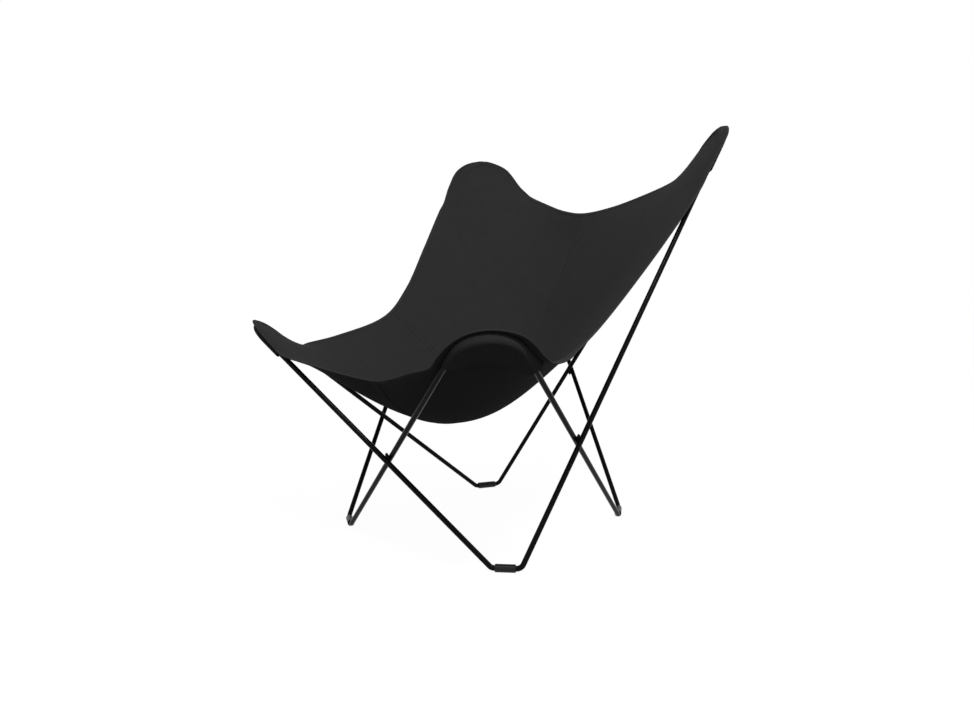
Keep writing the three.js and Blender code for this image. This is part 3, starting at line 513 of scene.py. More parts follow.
def make_object(name, points, faces, uvs=None, wear_and_painted_shade=None, sharp=35):
    mesh = bpy.data.meshes.new(name)
    places = (np.asarray(points, float) + vec(0, FRAME_SHIFT_Y, 0)) / 1000
    mesh.from_pydata(places.tolist(), [], [list(map(int, f)) for f in faces])
    mesh.polygons.foreach_set("use_smooth", [True] * len(mesh.polygons))
    mesh.set_sharp_from_angle(angle=math.radians(sharp))
    if uvs is not None:
        corners = np.empty(len(mesh.loops), int)
        mesh.loops.foreach_get("vertex_index", corners)
        mesh.uv_layers.new(name="threads").data.foreach_set(
            "uv", (np.asarray(uvs)[corners] / 1000).ravel())
    # Per-point surface marks: wear along hems and pockets, and painted shade in the seam grooves.
    if wear_and_painted_shade is not None:
        mesh.attributes.new("wear_and_painted_shade", "FLOAT", "POINT").data.foreach_set("value", wear_and_painted_shade)
    piece = bpy.data.objects.new(name, mesh)
    bpy.context.scene.collection.objects.link(piece)
    return piece


def signed_volume(points, faces):
    """Six times the volume inside faces of four corners."""
    a, b, c, d = (points[faces[:, k]] for k in range(4))
    return np.sum(a * np.cross(b, c)) + np.sum(a * np.cross(c, d))


def skin_solid(name, top, under, uvs=None, wear_and_painted_shade=None, sharp=35):
    """A solid between two skins that are grids of points of the same size."""
    rows, columns = top.shape[:2]
    count = rows * columns
    r, c = np.indices((rows - 1, columns - 1))
    a = (r * columns + c).ravel()
    upper = np.stack([a, a + 1, a + columns + 1, a + columns], axis=1)
    lower = upper[:, ::-1] + count
    ring = np.concatenate([
        np.arange(columns), np.arange(1, rows) * columns + columns - 1,
        (rows - 1) * columns + np.arange(columns - 2, -1, -1),
        np.arange(rows - 2, 0, -1) * columns])
    after = np.roll(ring, -1)
    walls = np.stack([after, ring, ring + count, after + count], axis=1)
    faces = np.vstack([upper, lower, walls])
    points = np.vstack([top.reshape(-1, 3), under.reshape(-1, 3)])
    if signed_volume(points, faces) < 0:
        faces = faces[:, ::-1]
    twice = lambda field: None if field is None else np.concatenate([field, field])
    return make_object(name, points, faces,
                       twice(None if uvs is None else uvs.reshape(-1, 2)),
                       twice(None if wear_and_painted_shade is None else wear_and_painted_shade.ravel()), sharp)


def make_tube(name, path, radius, sides):
    """A round bar along a path."""
    ways = unit(np.gradient(path, axis=0))
    ways[0] = unit(path[1] - path[0])
    ways[-1] = unit(path[-1] - path[-2])
    steps = unit(np.diff(path, axis=0))
    ways[1:-1] = unit(steps[:-1] + steps[1:])
    side = unit(np.cross(ways[0], vec(0.3, 0.2, 1)))
    turns = 2 * np.pi * np.arange(sides) / sides
    rings = []
    run = run_along(path)
    for k, way in enumerate(ways):
        side = unit(side - way * dot(side, way))
        other = np.cross(way, side)
        rings.append(path[k] + radius * (np.cos(turns)[:, None] * side
                                         + np.sin(turns)[:, None] * other))
    points = np.vstack(rings)
    k, s = np.indices((len(path) - 1, sides))
    after = (s + 1) % sides
    a = k * sides
    faces = np.stack([a + s, a + after, a + sides + after, a + sides + s], axis=-1).reshape(-1, 4)
    caps = [list(range(sides - 1, -1, -1)), list(range(len(points) - sides, len(points)))]
    uvs = np.stack([np.tile(turns * radius, len(path)), np.repeat(run, sides)], axis=1)
    return make_object(name, points, [*faces.tolist(), *caps], uvs)


class Stitches:
    """Short rounded stitches that are gathered into one mesh."""

    def __init__(self):
        around = 2 * np.pi * np.arange(6) / 6
        lengths = (-0.42, -0.2, 0.2, 0.42)
        widths = (0.75, 1, 1, 0.75)
        ring = [(x * STITCH_LENGTH, w * STITCH_RADIUS * math.cos(t),
                 w * STITCH_RADIUS * math.sin(t))
                for x, w in zip(lengths, widths) for t in around]
        self.shape = np.array([(-STITCH_LENGTH / 2, 0, 0), *ring, (STITCH_LENGTH / 2, 0, 0)])
        faces = []
        for s in range(6):
            after = (s + 1) % 6
            faces.append((0, 1 + after, 1 + s))
            faces.append((25, 19 + s, 19 + after))
            for k in range(3):
                faces.append((1 + 6 * k + s, 1 + 6 * k + after, 7 + 6 * k + after, 7 + 6 * k + s))
        self.faces = faces
        self.points = []

    def row(self, line, ups, closed=False):
        """Lays stitches along a line of places with the way up at each."""
        if closed:
            line = np.vstack([line, line[:1]])
            ups = np.vstack([ups, ups[:1]])
        run = run_along(line)
        count = int(run[-1] / STITCH_PITCH)
        middles = (np.arange(count) + 0.5) * run[-1] / count
        read = lambda field, at: np.stack([np.interp(at, run, field[:, k]) for k in range(3)], 1)
        centre = read(line, middles)
        way = unit(read(line, middles + 0.8) - read(line, middles - 0.8))
        up = read(ups, middles)
        up = unit(up - way * dot(up, way)[:, None])
        side = np.cross(up, way)
        axes = np.stack([way, side, up], axis=1)
        self.points.append(centre[:, None] + self.shape @ axes)

    def build(self, name):
        points = np.concatenate(self.points)
        faces = [tuple(26 * k + i for i in face) for k in range(len(points)) for face in self.faces]
        return make_object(name, points.reshape(-1, 3), faces, sharp=80)


# Welds

WELD_HALF = dict(along=7.5, wide=3.6, deep=3.8)
WELD_REACH = 8.5
WELD_RINGS = 28
WELD_SIDES = 20
WELD_RIPPLES = 7
WELD_RIPPLE_SHARE = 0.05
# The two bars of each crossing, the legs that cross, and the notch that is filled.
CROSSINGS = dict(
    front=("front_left", "front_right", "end", 1), back=("back_left", "back_right", "end", -1),
    left=("back_left", "front_left", "side", 1), right=("back_right", "front_right", "side", 1))


def make_weld(name, bars, first, second, leg, notch):
    """A rippled weld bead in one notch of a crossing."""
    a, b = (-bars[bar]["to_" + leg] for bar in (first, second))
    from_a, from_b = (bars[bar]["corner"] for bar in (first, second))
    normal = unit(np.cross(a, b))
    gap = from_b - from_a
    on_a = from_a + a * dot(np.cross(gap, b), normal) / dot(np.cross(a, b), normal)
    middle = on_a + normal * dot(gap, normal) / 2
    up = unit(a + b) * notch
    wide = np.cross(normal, up)
    centre = middle + up * WELD_REACH
    turns = 2 * np.pi * np.arange(WELD_SIDES) / WELD_SIDES
    points = [centre - up * WELD_HALF["along"]]
    for angle in np.pi * np.arange(1, WELD_RINGS) / WELD_RINGS:
        ripple = 1 + WELD_RIPPLE_SHARE * math.cos(2 * WELD_RIPPLES * angle)
        size = math.sin(angle) * ripple
        along = centre - up * WELD_HALF["along"] * math.cos(angle)
        points.extend(along + size * (WELD_HALF["wide"] * math.cos(t) * wide
                                      + WELD_HALF["deep"] * math.sin(t) * normal) for t in turns)
    points.append(centre + up * WELD_HALF["along"])
    last = len(points) - 1
    faces = []
    for s in range(WELD_SIDES):
        after = (s + 1) % WELD_SIDES
        faces.append((0, 1 + after, 1 + s))
        faces.append((last, last - WELD_SIDES + s, last - WELD_SIDES + after))
        for k in range(WELD_RINGS - 2):
            a0 = 1 + k * WELD_SIDES
            faces.append((a0 + s, a0 + after, a0 + WELD_SIDES + after, a0 + WELD_SIDES + s))
    return make_object(name, points, faces)


# Canvas pieces

def beside_scale(sling, rows, columns, way):
    """Millimetres per net line, along a way of the net at its places."""
    down, side = way
    step = 0.25
    there = sling.place(rows + step * down, columns + step * side)
    here = sling.place(rows, columns)
    return np.linalg.norm(there - here, axis=-1) / step


def panel_lines(sling, down, side):
    """Net rows and columns of a panel's lines, from the seams to the edges."""
    middle = sling.middle
    special = np.array(SEAM_LINES)
    regular = np.arange(1.5, middle - 0.25, 0.5)
    base = np.concatenate([special / 7, regular, [middle]])
    rows = np.repeat((middle + down * base)[:, None], len(base), axis=1)
    columns = np.repeat((middle + side * base)[None], len(base), axis=0)
    count = len(special)
    row_scale = beside_scale(sling, np.full(len(base), float(middle)), columns[0], (down, 0))
    column_scale = beside_scale(sling, rows[:, 0], np.full(len(base), float(middle)), (0, side))
    new_rows = rows.copy()
    new_columns = columns.copy()
    new_rows[:count] = middle + down * special[:, None] / row_scale[None]
    new_columns[:, :count] = middle + side * special[None] / column_scale[:, None]
    edge_row = middle + down * middle
    edge_column = middle + side * middle
    end_scale = beside_scale(sling, np.full(len(base), float(edge_row)), columns[0], (-down, 0))
    side_scale = beside_scale(sling, rows[:, 0], np.full(len(base), float(edge_column)), (0, -side))
    new_rows[-1] = edge_row - down * np.minimum(EDGE_INSET / end_scale, 0.4)
    new_columns[:, -1] = edge_column - side * np.minimum(EDGE_INSET / side_scale, 0.4)
    return new_rows, new_columns


def along_lines(places):
    """Run along each row and each column of a grid of places."""
    across = np.linalg.norm(np.diff(places, axis=1), axis=-1)
    down = np.linalg.norm(np.diff(places, axis=0), axis=-1)
    u = np.concatenate([np.zeros((len(places), 1)), np.cumsum(across, axis=1)], axis=1)
    v = np.concatenate([np.zeros((1, places.shape[1])), np.cumsum(down, axis=0)])
    return np.stack([u, v], axis=-1)


def make_panel(sling, name, down, side, stitches):
    rows, columns = panel_lines(sling, down, side)
    place = sling.place(rows, columns)
    normal = sling.normal(rows, columns)
    count = len(SEAM_LINES)
    rise = np.zeros(len(rows))
    rise[:count] = SEAM_RISE
    lift = np.maximum(rise[:, None], rise[None])
    top = place + normal * (CLOTH_HALF + lift)[..., None]
    under = place - normal * CLOTH_HALF
    threads = SEAM_LINES.index(SEAM_STITCH)
    shade = np.zeros(len(rows))
    shade[:count] = SEAM_SHADE
    # The seam's painted shade, darker in the stitch groove, goes into the attribute that also
    # carries the hems' wear.
    wear_and_painted_shade = np.where(np.abs(shade)[:, None] > np.abs(shade)[None], shade[:, None], shade[None])
    wear_and_painted_shade[:threads, threads] = wear_and_painted_shade[threads, :threads] = SEAM_SHADE[0]
    height = CLOTH_HALF + SEAM_RISE[threads] + 0.1
    for line in (slice(threads, None), threads), (threads, slice(threads, None)):
        stitches.row((place + normal * height)[line], normal[line])
    return skin_solid(name, top, under, along_lines(place), wear_and_painted_shade), place


def edge_loop(sling):
    """Stations all round the edge: place, way in, and the canvas at each depth inward."""
    last = sling.last
    run = np.arange(0, last, 0.5)
    rows = np.concatenate([0 * run, run, last + 0 * run, last - run])
    columns = np.concatenate([run, last + 0 * run, last - run, 0 * run])
    edge = sling.place(rows, columns)
    normal = sling.normal(rows, columns)
    for _ in range(6):
        normal = unit(np.roll(normal, 1, axis=0) + 2 * normal + np.roll(normal, -1, axis=0))
    way = unit(np.roll(edge, -1, axis=0) - np.roll(edge, 1, axis=0))
    inward = unit(np.cross(normal, way))
    middle = sling.middle
    inner = sling.place(rows + (middle - rows) * 0.06, columns + (middle - columns) * 0.06)
    inward *= np.sign(dot(inward, inner - edge))[:, None]
    depths = np.array([0, 1.5, 3, 4.5, 6, 7.5, 9, 12, 15, 18])
    places = np.empty((len(edge), len(depths), 3))
    for k, start in enumerate(edge):
        for j, depth in enumerate(depths):
            places[k, j] = sling.nearest(start + inward[k] * depth)[0] if j else start
    slopes = unit(np.gradient(places, axis=1))
    ups = unit(np.cross(slopes, way[:, None]))
    ups *= np.sign(dot(ups, normal[:, None]))[..., None]
    for _ in range(3):
        ups = unit(np.roll(ups, 1, axis=0) + 2 * ups + np.roll(ups, -1, axis=0))
    return dict(rows=rows, columns=columns, edge=edge, way=way, inward=inward, normal=normal,
                depths=depths, places=places, ups=ups, run=run_along(edge))


def section_point(loop, k, depth, height):
    """A place at a station, so far in from the edge and so far off the middle surface."""
    depths = loop["depths"]
    j = min(int(np.searchsorted(depths, depth, side="right")) - 1, len(depths) - 2)
    j = max(j, 0)
    t = (depth - depths[j]) / (depths[j + 1] - depths[j])
    place = loop["places"][k, j] * (1 - t) + loop["places"][k, j + 1] * t
    up = unit(loop["ups"][k, j] * (1 - t) + loop["ups"][k, j + 1] * t)
    return place + up * height


FOLD_TURNS = np.radians([0, 22, 45, 68, 90, 112, 135, 158, 180])
FOLD_MIDDLE = 1.5


def hem_leg(sign):
    """Outer and inner heights of a hem's leg, from its raw end to the fold."""
    inner = CLOTH_HALF + HEM_GAP
    outer = inner + HEM_THICKNESS
    shape = [(HEM_WIDTH, outer - 0.25), (HEM_WIDTH - 0.4, outer), (STITCH_DEPTH + 0.6, outer),
             (STITCH_DEPTH, outer - 0.22), (STITCH_DEPTH - 0.6, outer), (5, outer), (3, outer)]
    return [(depth, sign * high, sign * inner) for depth, high in shape]


def hem_profile():
    """Depth and height of the outer and inner skin of a hem, from one raw end to the other."""
    inner = CLOTH_HALF + HEM_GAP
    outer = inner + HEM_THICKNESS
    fold = [(FOLD_MIDDLE - outer * math.sin(t), outer * math.cos(t),
             FOLD_MIDDLE - inner * math.sin(t), inner * math.cos(t)) for t in FOLD_TURNS]
    top = [(d, high, d, low) for d, high, low in hem_leg(1)]
    under = [(d, high, d, low) for d, high, low in hem_leg(-1)][::-1]
    return top + fold + under


def make_hem(name, loop, stations):
    profile = hem_profile()
    outer = np.array([[section_point(loop, k, d, h) for d, h, _, _ in profile] for k in stations])
    inner = np.array([[section_point(loop, k, d, h) for _, _, d, h in profile] for k in stations])
    across = run_along(np.array([(d, h, 0) for d, h, _, _ in profile]))
    lengths = run_along(loop["edge"][stations])
    uvs = np.stack(np.broadcast_arrays(lengths[:, None], across[None]), axis=-1)
    wear_and_painted_shade = np.array([1 if d < 1 else 0.3 for d, _, _, _ in profile], float)
    return skin_solid(name, outer, inner, uvs, np.repeat(wear_and_painted_shade[None], len(stations), axis=0))


def hem_stitches(loop, stations, stitches, side):
    height = side * (CLOTH_HALF + HEM_GAP + HEM_THICKNESS - 0.12)
    line = np.array([section_point(loop, k, STITCH_DEPTH, height) for k in stations])
    stitches.row(line, loop["normal"][stations] * side)


def nearest_on_bar(bar, place):
    start = place - bar["centre"]
    side, up, height = (dot(start, bar[key]) for key in ("across", "along", "inward"))
    if up > bar["radius"] * math.sin(bar["half"]) * (math.hypot(side, up) / bar["radius"]):
        out = unit(bar["across"] * side + bar["along"] * up)
        on_bar = bar["centre"] + out * bar["radius"]
    else:
        leg = bar["to_end"] if side > 0 else bar["to_side"]
        flat = place - bar["inward"] * height
        on_bar = bar["corner"] + leg * dot(flat - bar["corner"], leg)
        out = unit(flat - on_bar)
    return on_bar, out, dot(place - on_bar, out)


FOLLOW_SHARE = 0.85
POCKET_PAST_BAR = 12
POCKET_HALF = 0.4
POCKET_SNUG = BAR_RADIUS + 0.1 + POCKET_HALF
FLANGE_TO_BAR = 3.5
FLANGE_RANGE = (4.5, 17)
MOUTH_HEM = 7
SHEET_STEPS = 20
MOUTH_STEPS = 12
CORNERS = ("front_left", "front_right", "back_right", "back_left")
# Stations on each side of a corner that its pocket covers, how far the pocket hangs below the
# middle of the bar, and the rise of its mouth.
POCKETS = dict(
    front_left=dict(before=61, after=61, drop=9.5, rise=14),
    front_right=dict(before=61, after=61, drop=17, rise=28),
    back_right=dict(before=62, after=60, drop=10, rise=22),
    back_left=dict(before=60, after=62, drop=10, rise=22),
)


def pocket_profile(loop, k, bar, rail, mouth, drop):
    """Middle line of a pocket's sheet at a station, from the rim round the bar to the mouth."""
    on_bar, out, away = rail
    inward = bar["inward"]
    rim = min(max(away - FLANGE_TO_BAR, FLANGE_RANGE[0]), FLANGE_RANGE[1])
    while True:
        start = section_point(loop, k, rim, -(CLOTH_HALF + HEM_GAP + HEM_THICKNESS / 2)) - on_bar
        if rim <= FLANGE_RANGE[0] or np.linalg.norm(start) > POCKET_SNUG:
            break
        rim -= 0.5
    a, b = dot(start, out), dot(start, inward)
    t = np.linspace(0, 1, SHEET_STEPS + 1)[:, None]
    hooks = np.array([(a, b), (max(a, POCKET_SNUG + 2.6), -4), (3.5, -drop - 2), (-6, -drop)])
    flat = ((1 - t) ** 3 * hooks[0] + 3 * (1 - t) ** 2 * t * hooks[1]
            + 3 * (1 - t) * t ** 2 * hooks[2] + t ** 3 * hooks[3])
    reach = np.maximum(np.linalg.norm(flat, axis=1, keepdims=True), 1e-6)
    flat = flat * np.maximum(1, POCKET_SNUG / reach)
    sheet = on_bar + flat[:, :1] * out + flat[:, 1:] * inward
    last = sheet[-1]
    s = np.linspace(0, 1, MOUTH_STEPS + 1)[1:, None]
    to_mouth = last * (1 - s) + mouth * s
    return np.vstack([sheet, to_mouth]), rim


def pocket_stations(loop, number, pocket):
    """Stations of the pocket at a corner, which is numbered from the front left one."""
    corner = number * (len(loop["edge"]) // 4)
    return np.arange(corner - pocket["before"], corner + pocket["after"] + 1)


def make_pocket(name, loop, stations, bar, drop, rise):
    stations = stations % len(loop["edge"])
    rails = []
    for k in stations:
        edge = loop["edge"][k]
        _, out, away = nearest_on_bar(bar, edge)
        reach = -away / dot(loop["inward"][k], out)
        on_bar, way, _ = nearest_on_bar(bar, edge + loop["inward"][k] * reach * FOLLOW_SHARE)
        rails.append((on_bar, way, away))
    ends = [rail[0] - rail[1] * POCKET_PAST_BAR - bar["inward"] * (POCKET_SNUG + 3.5)
            for rail in (rails[0], rails[-1])]
    profile = hem_profile()
    top = [p for p in profile if p[1] > -0.2 or p[0] < FOLD_MIDDLE]
    outers, inners, wears = [], [], []
    count = len(stations) - 1
    for n, k in enumerate(stations):
        share = n / count
        mouth = (ends[0] * (1 - share) + ends[1] * share
                 + bar["along"] * rise * (1 - abs(2 * share - 1) ** 1.7))
        near_end = 1 - abs(2 * share - 1) ** 6
        hang = POCKET_SNUG + 3.5 + (drop - POCKET_SNUG - 3.5) * near_end
        sheet, rim = pocket_profile(loop, k, bar, rails[n], mouth, hang)
        outer = [section_point(loop, k, d, h) for d, h, _, _ in top]
        inner = [section_point(loop, k, d, h) for _, _, d, h in top]
        low = -(CLOTH_HALF + HEM_GAP)
        for part in np.linspace(3, rim, 5)[:-1]:
            outer.append(section_point(loop, k, part, low - HEM_THICKNESS))
            inner.append(section_point(loop, k, part, low))
        way = unit(np.gradient(sheet, axis=0))
        down = unit(np.cross(way, loop["way"][k]))
        down *= np.sign(dot(down, -bar["inward"] - 0.3 * rails[n][1]))[:, None]
        run = run_along(sheet)
        half = np.where(run[-1] - run < MOUTH_HEM, 0.75, POCKET_HALF)
        outers.append(np.vstack([outer, sheet + down * half[:, None]]))
        inners.append(np.vstack([inner, sheet - down * half[:, None]]))
        wears.append([1 if p[0] < 1 else 0.3 for p in top] + [0.2] * 4 + [0.1] * len(sheet))
    outers, inners = np.array(outers), np.array(inners)
    uvs = np.stack([
        np.broadcast_to(run_along(loop["edge"][stations])[:, None], outers.shape[:2]),
        np.array([run_along(line) for line in outers])], axis=-1)
    return skin_solid(name, outers, inners, uvs, np.array(wears, float))


def make_strap(name, sling, rows, columns, across):
    """A strap of tape under a seam, from net places of its middle line."""
    down, side = across
    offsets = np.array([-10, -9.4, -7.6, -6.9, -6.2, -3, 0, 3, 6.2, 6.9, 7.6, 9.4, 10])
    dips = np.array([0.2, 0, 0, 0.2, 0, 0, 0, 0, 0, 0.2, 0, 0, 0.2])
    scale = beside_scale(sling, rows, columns, across)[:, None]
    r = rows[:, None] + down * offsets[None] / scale
    c = columns[:, None] + side * offsets[None] / scale
    place = sling.place(r, c)
    normal = sling.normal(r, c)
    gap = CLOTH_HALF + 0.12
    top = place - normal * gap
    under = place - normal * (gap + STRAP_THICKNESS - dips)[..., None]
    return skin_solid(name, top, under, along_lines(place)), under, normal


# Materials

class Nodes:
    """Short way to write a material's nodes."""

    def __init__(self, name):
        self.material = bpy.data.materials.new(name)
        self.material.use_nodes = True
        self.tree = self.material.node_tree
        self.tree.nodes.clear()
        self.output = self.tree.nodes.new("ShaderNodeOutputMaterial")
        self.shader = self.tree.nodes.new("ShaderNodeBsdfPrincipled")
        self.link(self.shader.outputs[0], self.output.inputs["Surface"])

    def link(self, source, target):
        self.tree.links.new(source, target)

    def node(self, kind, settings=(), **inputs):
        node = self.tree.nodes.new("ShaderNode" + kind)
        for key, value in dict(settings).items():
            setattr(node, key, value)
        for key, value in inputs.items():
            socket = node.inputs[int(key[1:])] if key[1:].isdigit() else node.inputs[key]
            if isinstance(value, bpy.types.NodeSocket):
                self.link(value, socket)
            else:
                socket.default_value = value
        return node

    def math(self, operation, a, b=0.0, c=0.0):
        return self.node("Math", {"operation": operation}, i0=a, i1=b, i2=c).outputs[0]

    def noise(self, place, scale, detail=3.0, roughness=0.55):
        node = self.node("TexNoise", Scale=scale, Detail=detail, Roughness=roughness)
        self.link(place, node.inputs["Vector"])
        return node.outputs["Fac"]

    def scaled(self, place, x, y, z=1.0):
        return self.node("VectorMath", {"operation": "MULTIPLY"}, i0=place,
                         i1=(x, y, z)).outputs[0]

    def spread(self, value, low, high):
        """Maps a noise of 0.25 to 0.75 to a range."""
        node = self.node("MapRange", i0=value, i1=0.25, i2=0.75, i3=low, i4=high)
        return node.outputs[0]

    def set(self, **values):
        for key, value in values.items():
            name = key.replace("_", " ")
            if isinstance(value, bpy.types.NodeSocket):
                self.link(value, self.shader.inputs[name])
            else:
                self.shader.inputs[name].default_value = value


def tinted(nodes, colour, shade):
    """A colour times a shade that varies over the surface."""
    return nodes.node("VectorMath", {"operation": "SCALE"}, i0=colour, Scale=shade).outputs[0]


def canvas_material(name, colour, mark_gain):
    n = Nodes(name)
    threads = n.node("UVMap", {"uv_map": "threads"}).outputs[0]
    place = n.node("TexCoord").outputs["Object"]
    split = n.node("SeparateXYZ", i0=n.scaled(threads, *(2 * [math.pi / (THREAD_PITCH / 1000)])))
    warp = n.math("SINE", split.outputs[0])
    weft = n.math("SINE", split.outputs[1])
    weave = n.math("MULTIPLY", warp, weft)
    slubs = n.math("ADD", n.noise(n.scaled(threads, 60, 1100), 1.0, 2.0),
                   n.noise(n.scaled(threads, 1100, 60), 1.0, 2.0))
    mottle = n.noise(place, 38.0, 4.0)
    cloud = n.noise(place, 5.0, 3.0)
    fuzz = n.noise(place, 900.0, 2.0)
    # Surface marks from the attribute: wear lightens hem folds and pockets, and painted shade
    # darkens the seam grooves in place of their shadow.
    tone_marks = n.math("MULTIPLY", n.node("Attribute", {"attribute_name": "wear_and_painted_shade"}).outputs["Fac"],
                  n.spread(n.noise(place, 120.0, 3.0), 0.5, 1.0))
    shade = n.math("MULTIPLY", n.spread(mottle, 0.955, 1.045), n.spread(cloud, 0.97, 1.03))
    shade = n.math("MULTIPLY", shade, n.spread(n.math("MULTIPLY", slubs, 0.5), 0.9, 1.1))
    shade = n.math("MULTIPLY", shade, n.spread(n.math("MULTIPLY_ADD", weave, 0.25, 0.5), 0.94, 1.06))
    shade = n.math("MULTIPLY", shade, n.math("MULTIPLY_ADD", tone_marks, mark_gain, 1.0))
    height = n.math("ADD", n.math("MULTIPLY", weave, 0.6), n.math("MULTIPLY", slubs, 0.5))
    height = n.math("ADD", height, n.math("MULTIPLY", fuzz, 0.4))
    bump = n.node("Bump", Strength=0.35, Distance=0.00012, Height=height)
    wide = n.node("Bump", Strength=0.18, Distance=0.0012, Height=mottle, Normal=bump.outputs[0])
    n.set(Base_Color=tinted(n, colour, shade), Roughness=n.spread(fuzz, 0.84, 0.97),
          Normal=wide.outputs[0], Sheen_Weight=0.004, Sheen_Roughness=0.5, Specular_IOR_Level=0.03)
    return n.material


def steel_material(name):
    n = Nodes(name)
    place = n.node("TexCoord").outputs["Object"]
    peel = n.noise(place, 700.0, 2.0)
    smudge = n.noise(place, 30.0, 4.0)
    scuff = n.node("MapRange", i0=n.noise(n.scaled(place, 1, 1, 0.35), 420.0, 2.0, 0.7),
                   i1=0.7, i2=0.82, i3=0.0, i4=1.0).outputs[0]
    low = n.node("MapRange", i0=n.node("SeparateXYZ", i0=place).outputs[2],
                 i1=0.0, i2=0.12, i3=1.0, i4=0.15).outputs[0]
    tone_marks = n.math("MULTIPLY", scuff, low)
    shade = n.math("ADD", n.spread(smudge, 0.85, 1.15), n.math("MULTIPLY", tone_marks, 1.6))
    bump = n.node("Bump", Strength=0.02, Distance=0.0002, Height=peel)
    rough = n.math("ADD", n.spread(smudge, 0.14, 0.18), n.math("MULTIPLY", tone_marks, 0.3))
    n.set(Base_Color=tinted(n, (0.005, 0.0058, 0.0056), shade), Roughness=rough,
          Normal=bump.outputs[0], Specular_IOR_Level=0.05)
    return n.material


def plastic_material(name):
    n = Nodes(name)
    place = n.node("TexCoord").outputs["Object"]
    grain = n.noise(place, 1400.0, 3.0)
    smudge = n.noise(place, 60.0, 4.0)
    dust = n.node("MapRange", i0=n.node("SeparateXYZ", i0=place).outputs[2],
                  i1=0.0, i2=0.012, i3=1.9, i4=1.0).outputs[0]
    shade = n.math("MULTIPLY", n.spread(smudge, 0.85, 1.2), dust)
    bump = n.node("Bump", Strength=0.25, Distance=0.0002, Height=grain)
    n.set(Base_Color=tinted(n, (0.009, 0.009, 0.009), shade), Roughness=n.spread(smudge, 0.36, 0.46),
          Normal=bump.outputs[0], Specular_IOR_Level=0.2)
    return n.material


# Object

bars = make_bar_lines()
sling = Sling(with_seam_back(make_sling(bars)))
loop = edge_loop(sling)

canvas = canvas_material("canvas", (0.034, 0.034, 0.034), 0.35)
tape = canvas_material("canvas_tape", (0.037, 0.037, 0.037), 0.5)
thread = canvas_material("thread", (0.03, 0.03, 0.03), 0.0)
steel = steel_material("black_coat")
plastic = plastic_material("black_plastic")


def dress(piece, material, slot, *nodes):
    piece.data.materials.append(material)
    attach(piece, "root")
    if nodes:
        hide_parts(*nodes)
    return piece


for name, bar in bars.items():
    tube = make_tube(name + "_bar_round", bar_path(bar), BAR_RADIUS, BAR_SIDES)
    dress(tube, steel, "frame_steel", name + "_bar")

for name, crossing in CROSSINGS.items():
    dress(make_weld(name + "_weld_bead", bars, *crossing), steel, "frame_steel",
          name + "_crossing_weld")

for name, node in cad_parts.items():
    if name.endswith("_sleeve"):
        for slot in node.material_slots:
            slot.material = plastic

seam_stitches = Stitches()
panels = {}
for name, down, side in (("seat_left", -1, -1), ("seat_right", -1, 1),
                         ("back_left", 1, -1), ("back_right", 1, 1)):
    panel, _ = make_panel(sling, name + "_canvas", down, side, seam_stitches)
    panels[name] = dress(panel, canvas, "canvas", name + "_panel")
on_panels = {name: [] for name in panels}
on_panels["seat_left"].append(
    dress(seam_stitches.build("seam_stitches"), thread, "canvas_tape"))

hem_threads = Stitches()
corners = [pocket_stations(loop, n, POCKETS[name]) for n, name in enumerate(CORNERS)]
for n, (name, panel) in enumerate((("front", "seat_left"), ("right", "seat_right"),
                                   ("top", "back_right"), ("left", "back_left"))):
    finish = corners[(n + 1) % 4][0] + (len(loop["edge"]) if n == 3 else 0)
    stations = np.arange(corners[n][-1], finish + 1)
    hem = make_hem(name + "_hem", loop, stations)
    on_panels[panel].append(dress(hem, tape, "canvas_tape", name + "_edge_binding"))
    for way in (1, -1):
        hem_stitches(loop, stations, hem_threads, way)

for name, stations in zip(CORNERS, corners):
    pocket = make_pocket(name + "_corner_pocket", loop, stations, bars[name],
                         POCKETS[name]["drop"], POCKETS[name]["rise"])
    dress(pocket, canvas, "canvas", name + "_pocket")
    hem_stitches(loop, stations % len(loop["edge"]), hem_threads, 1)
on_panels["seat_left"].append(dress(hem_threads.build("hem_stitches"), thread, "canvas_tape"))

middle = float(sling.middle)
along_middle = np.arange(2.0, sling.last - 1.9, 1.0)
strap_threads = Stitches()
for name, rows, columns, across, node, panel in (
        ("middle_strap", along_middle, 0 * along_middle + middle, (0, 1), "middle_seam_strap",
         "back_left"),
        ("left_strap", 0 * along_middle[:61] + middle, along_middle[:61], (1, 0),
         "left_cross_strap", "seat_left"),
        ("right_strap", 0 * along_middle[-61:] + middle, along_middle[-61:], (1, 0),
         "right_cross_strap", "seat_right")):
    strap, under, normal = make_strap(name, sling, rows, columns, across)
    on_panels[panel].append(dress(strap, tape, "canvas_tape", node))
    for line in (3, 9):
        strap_threads.row(under[:, line] - normal[:, line] * 0.05, -normal[:, line])
on_panels["back_left"].append(
    dress(strap_threads.build("strap_stitches"), thread, "canvas_tape"))


# Floor, light and camera

DOME_LIGHT = 0.38


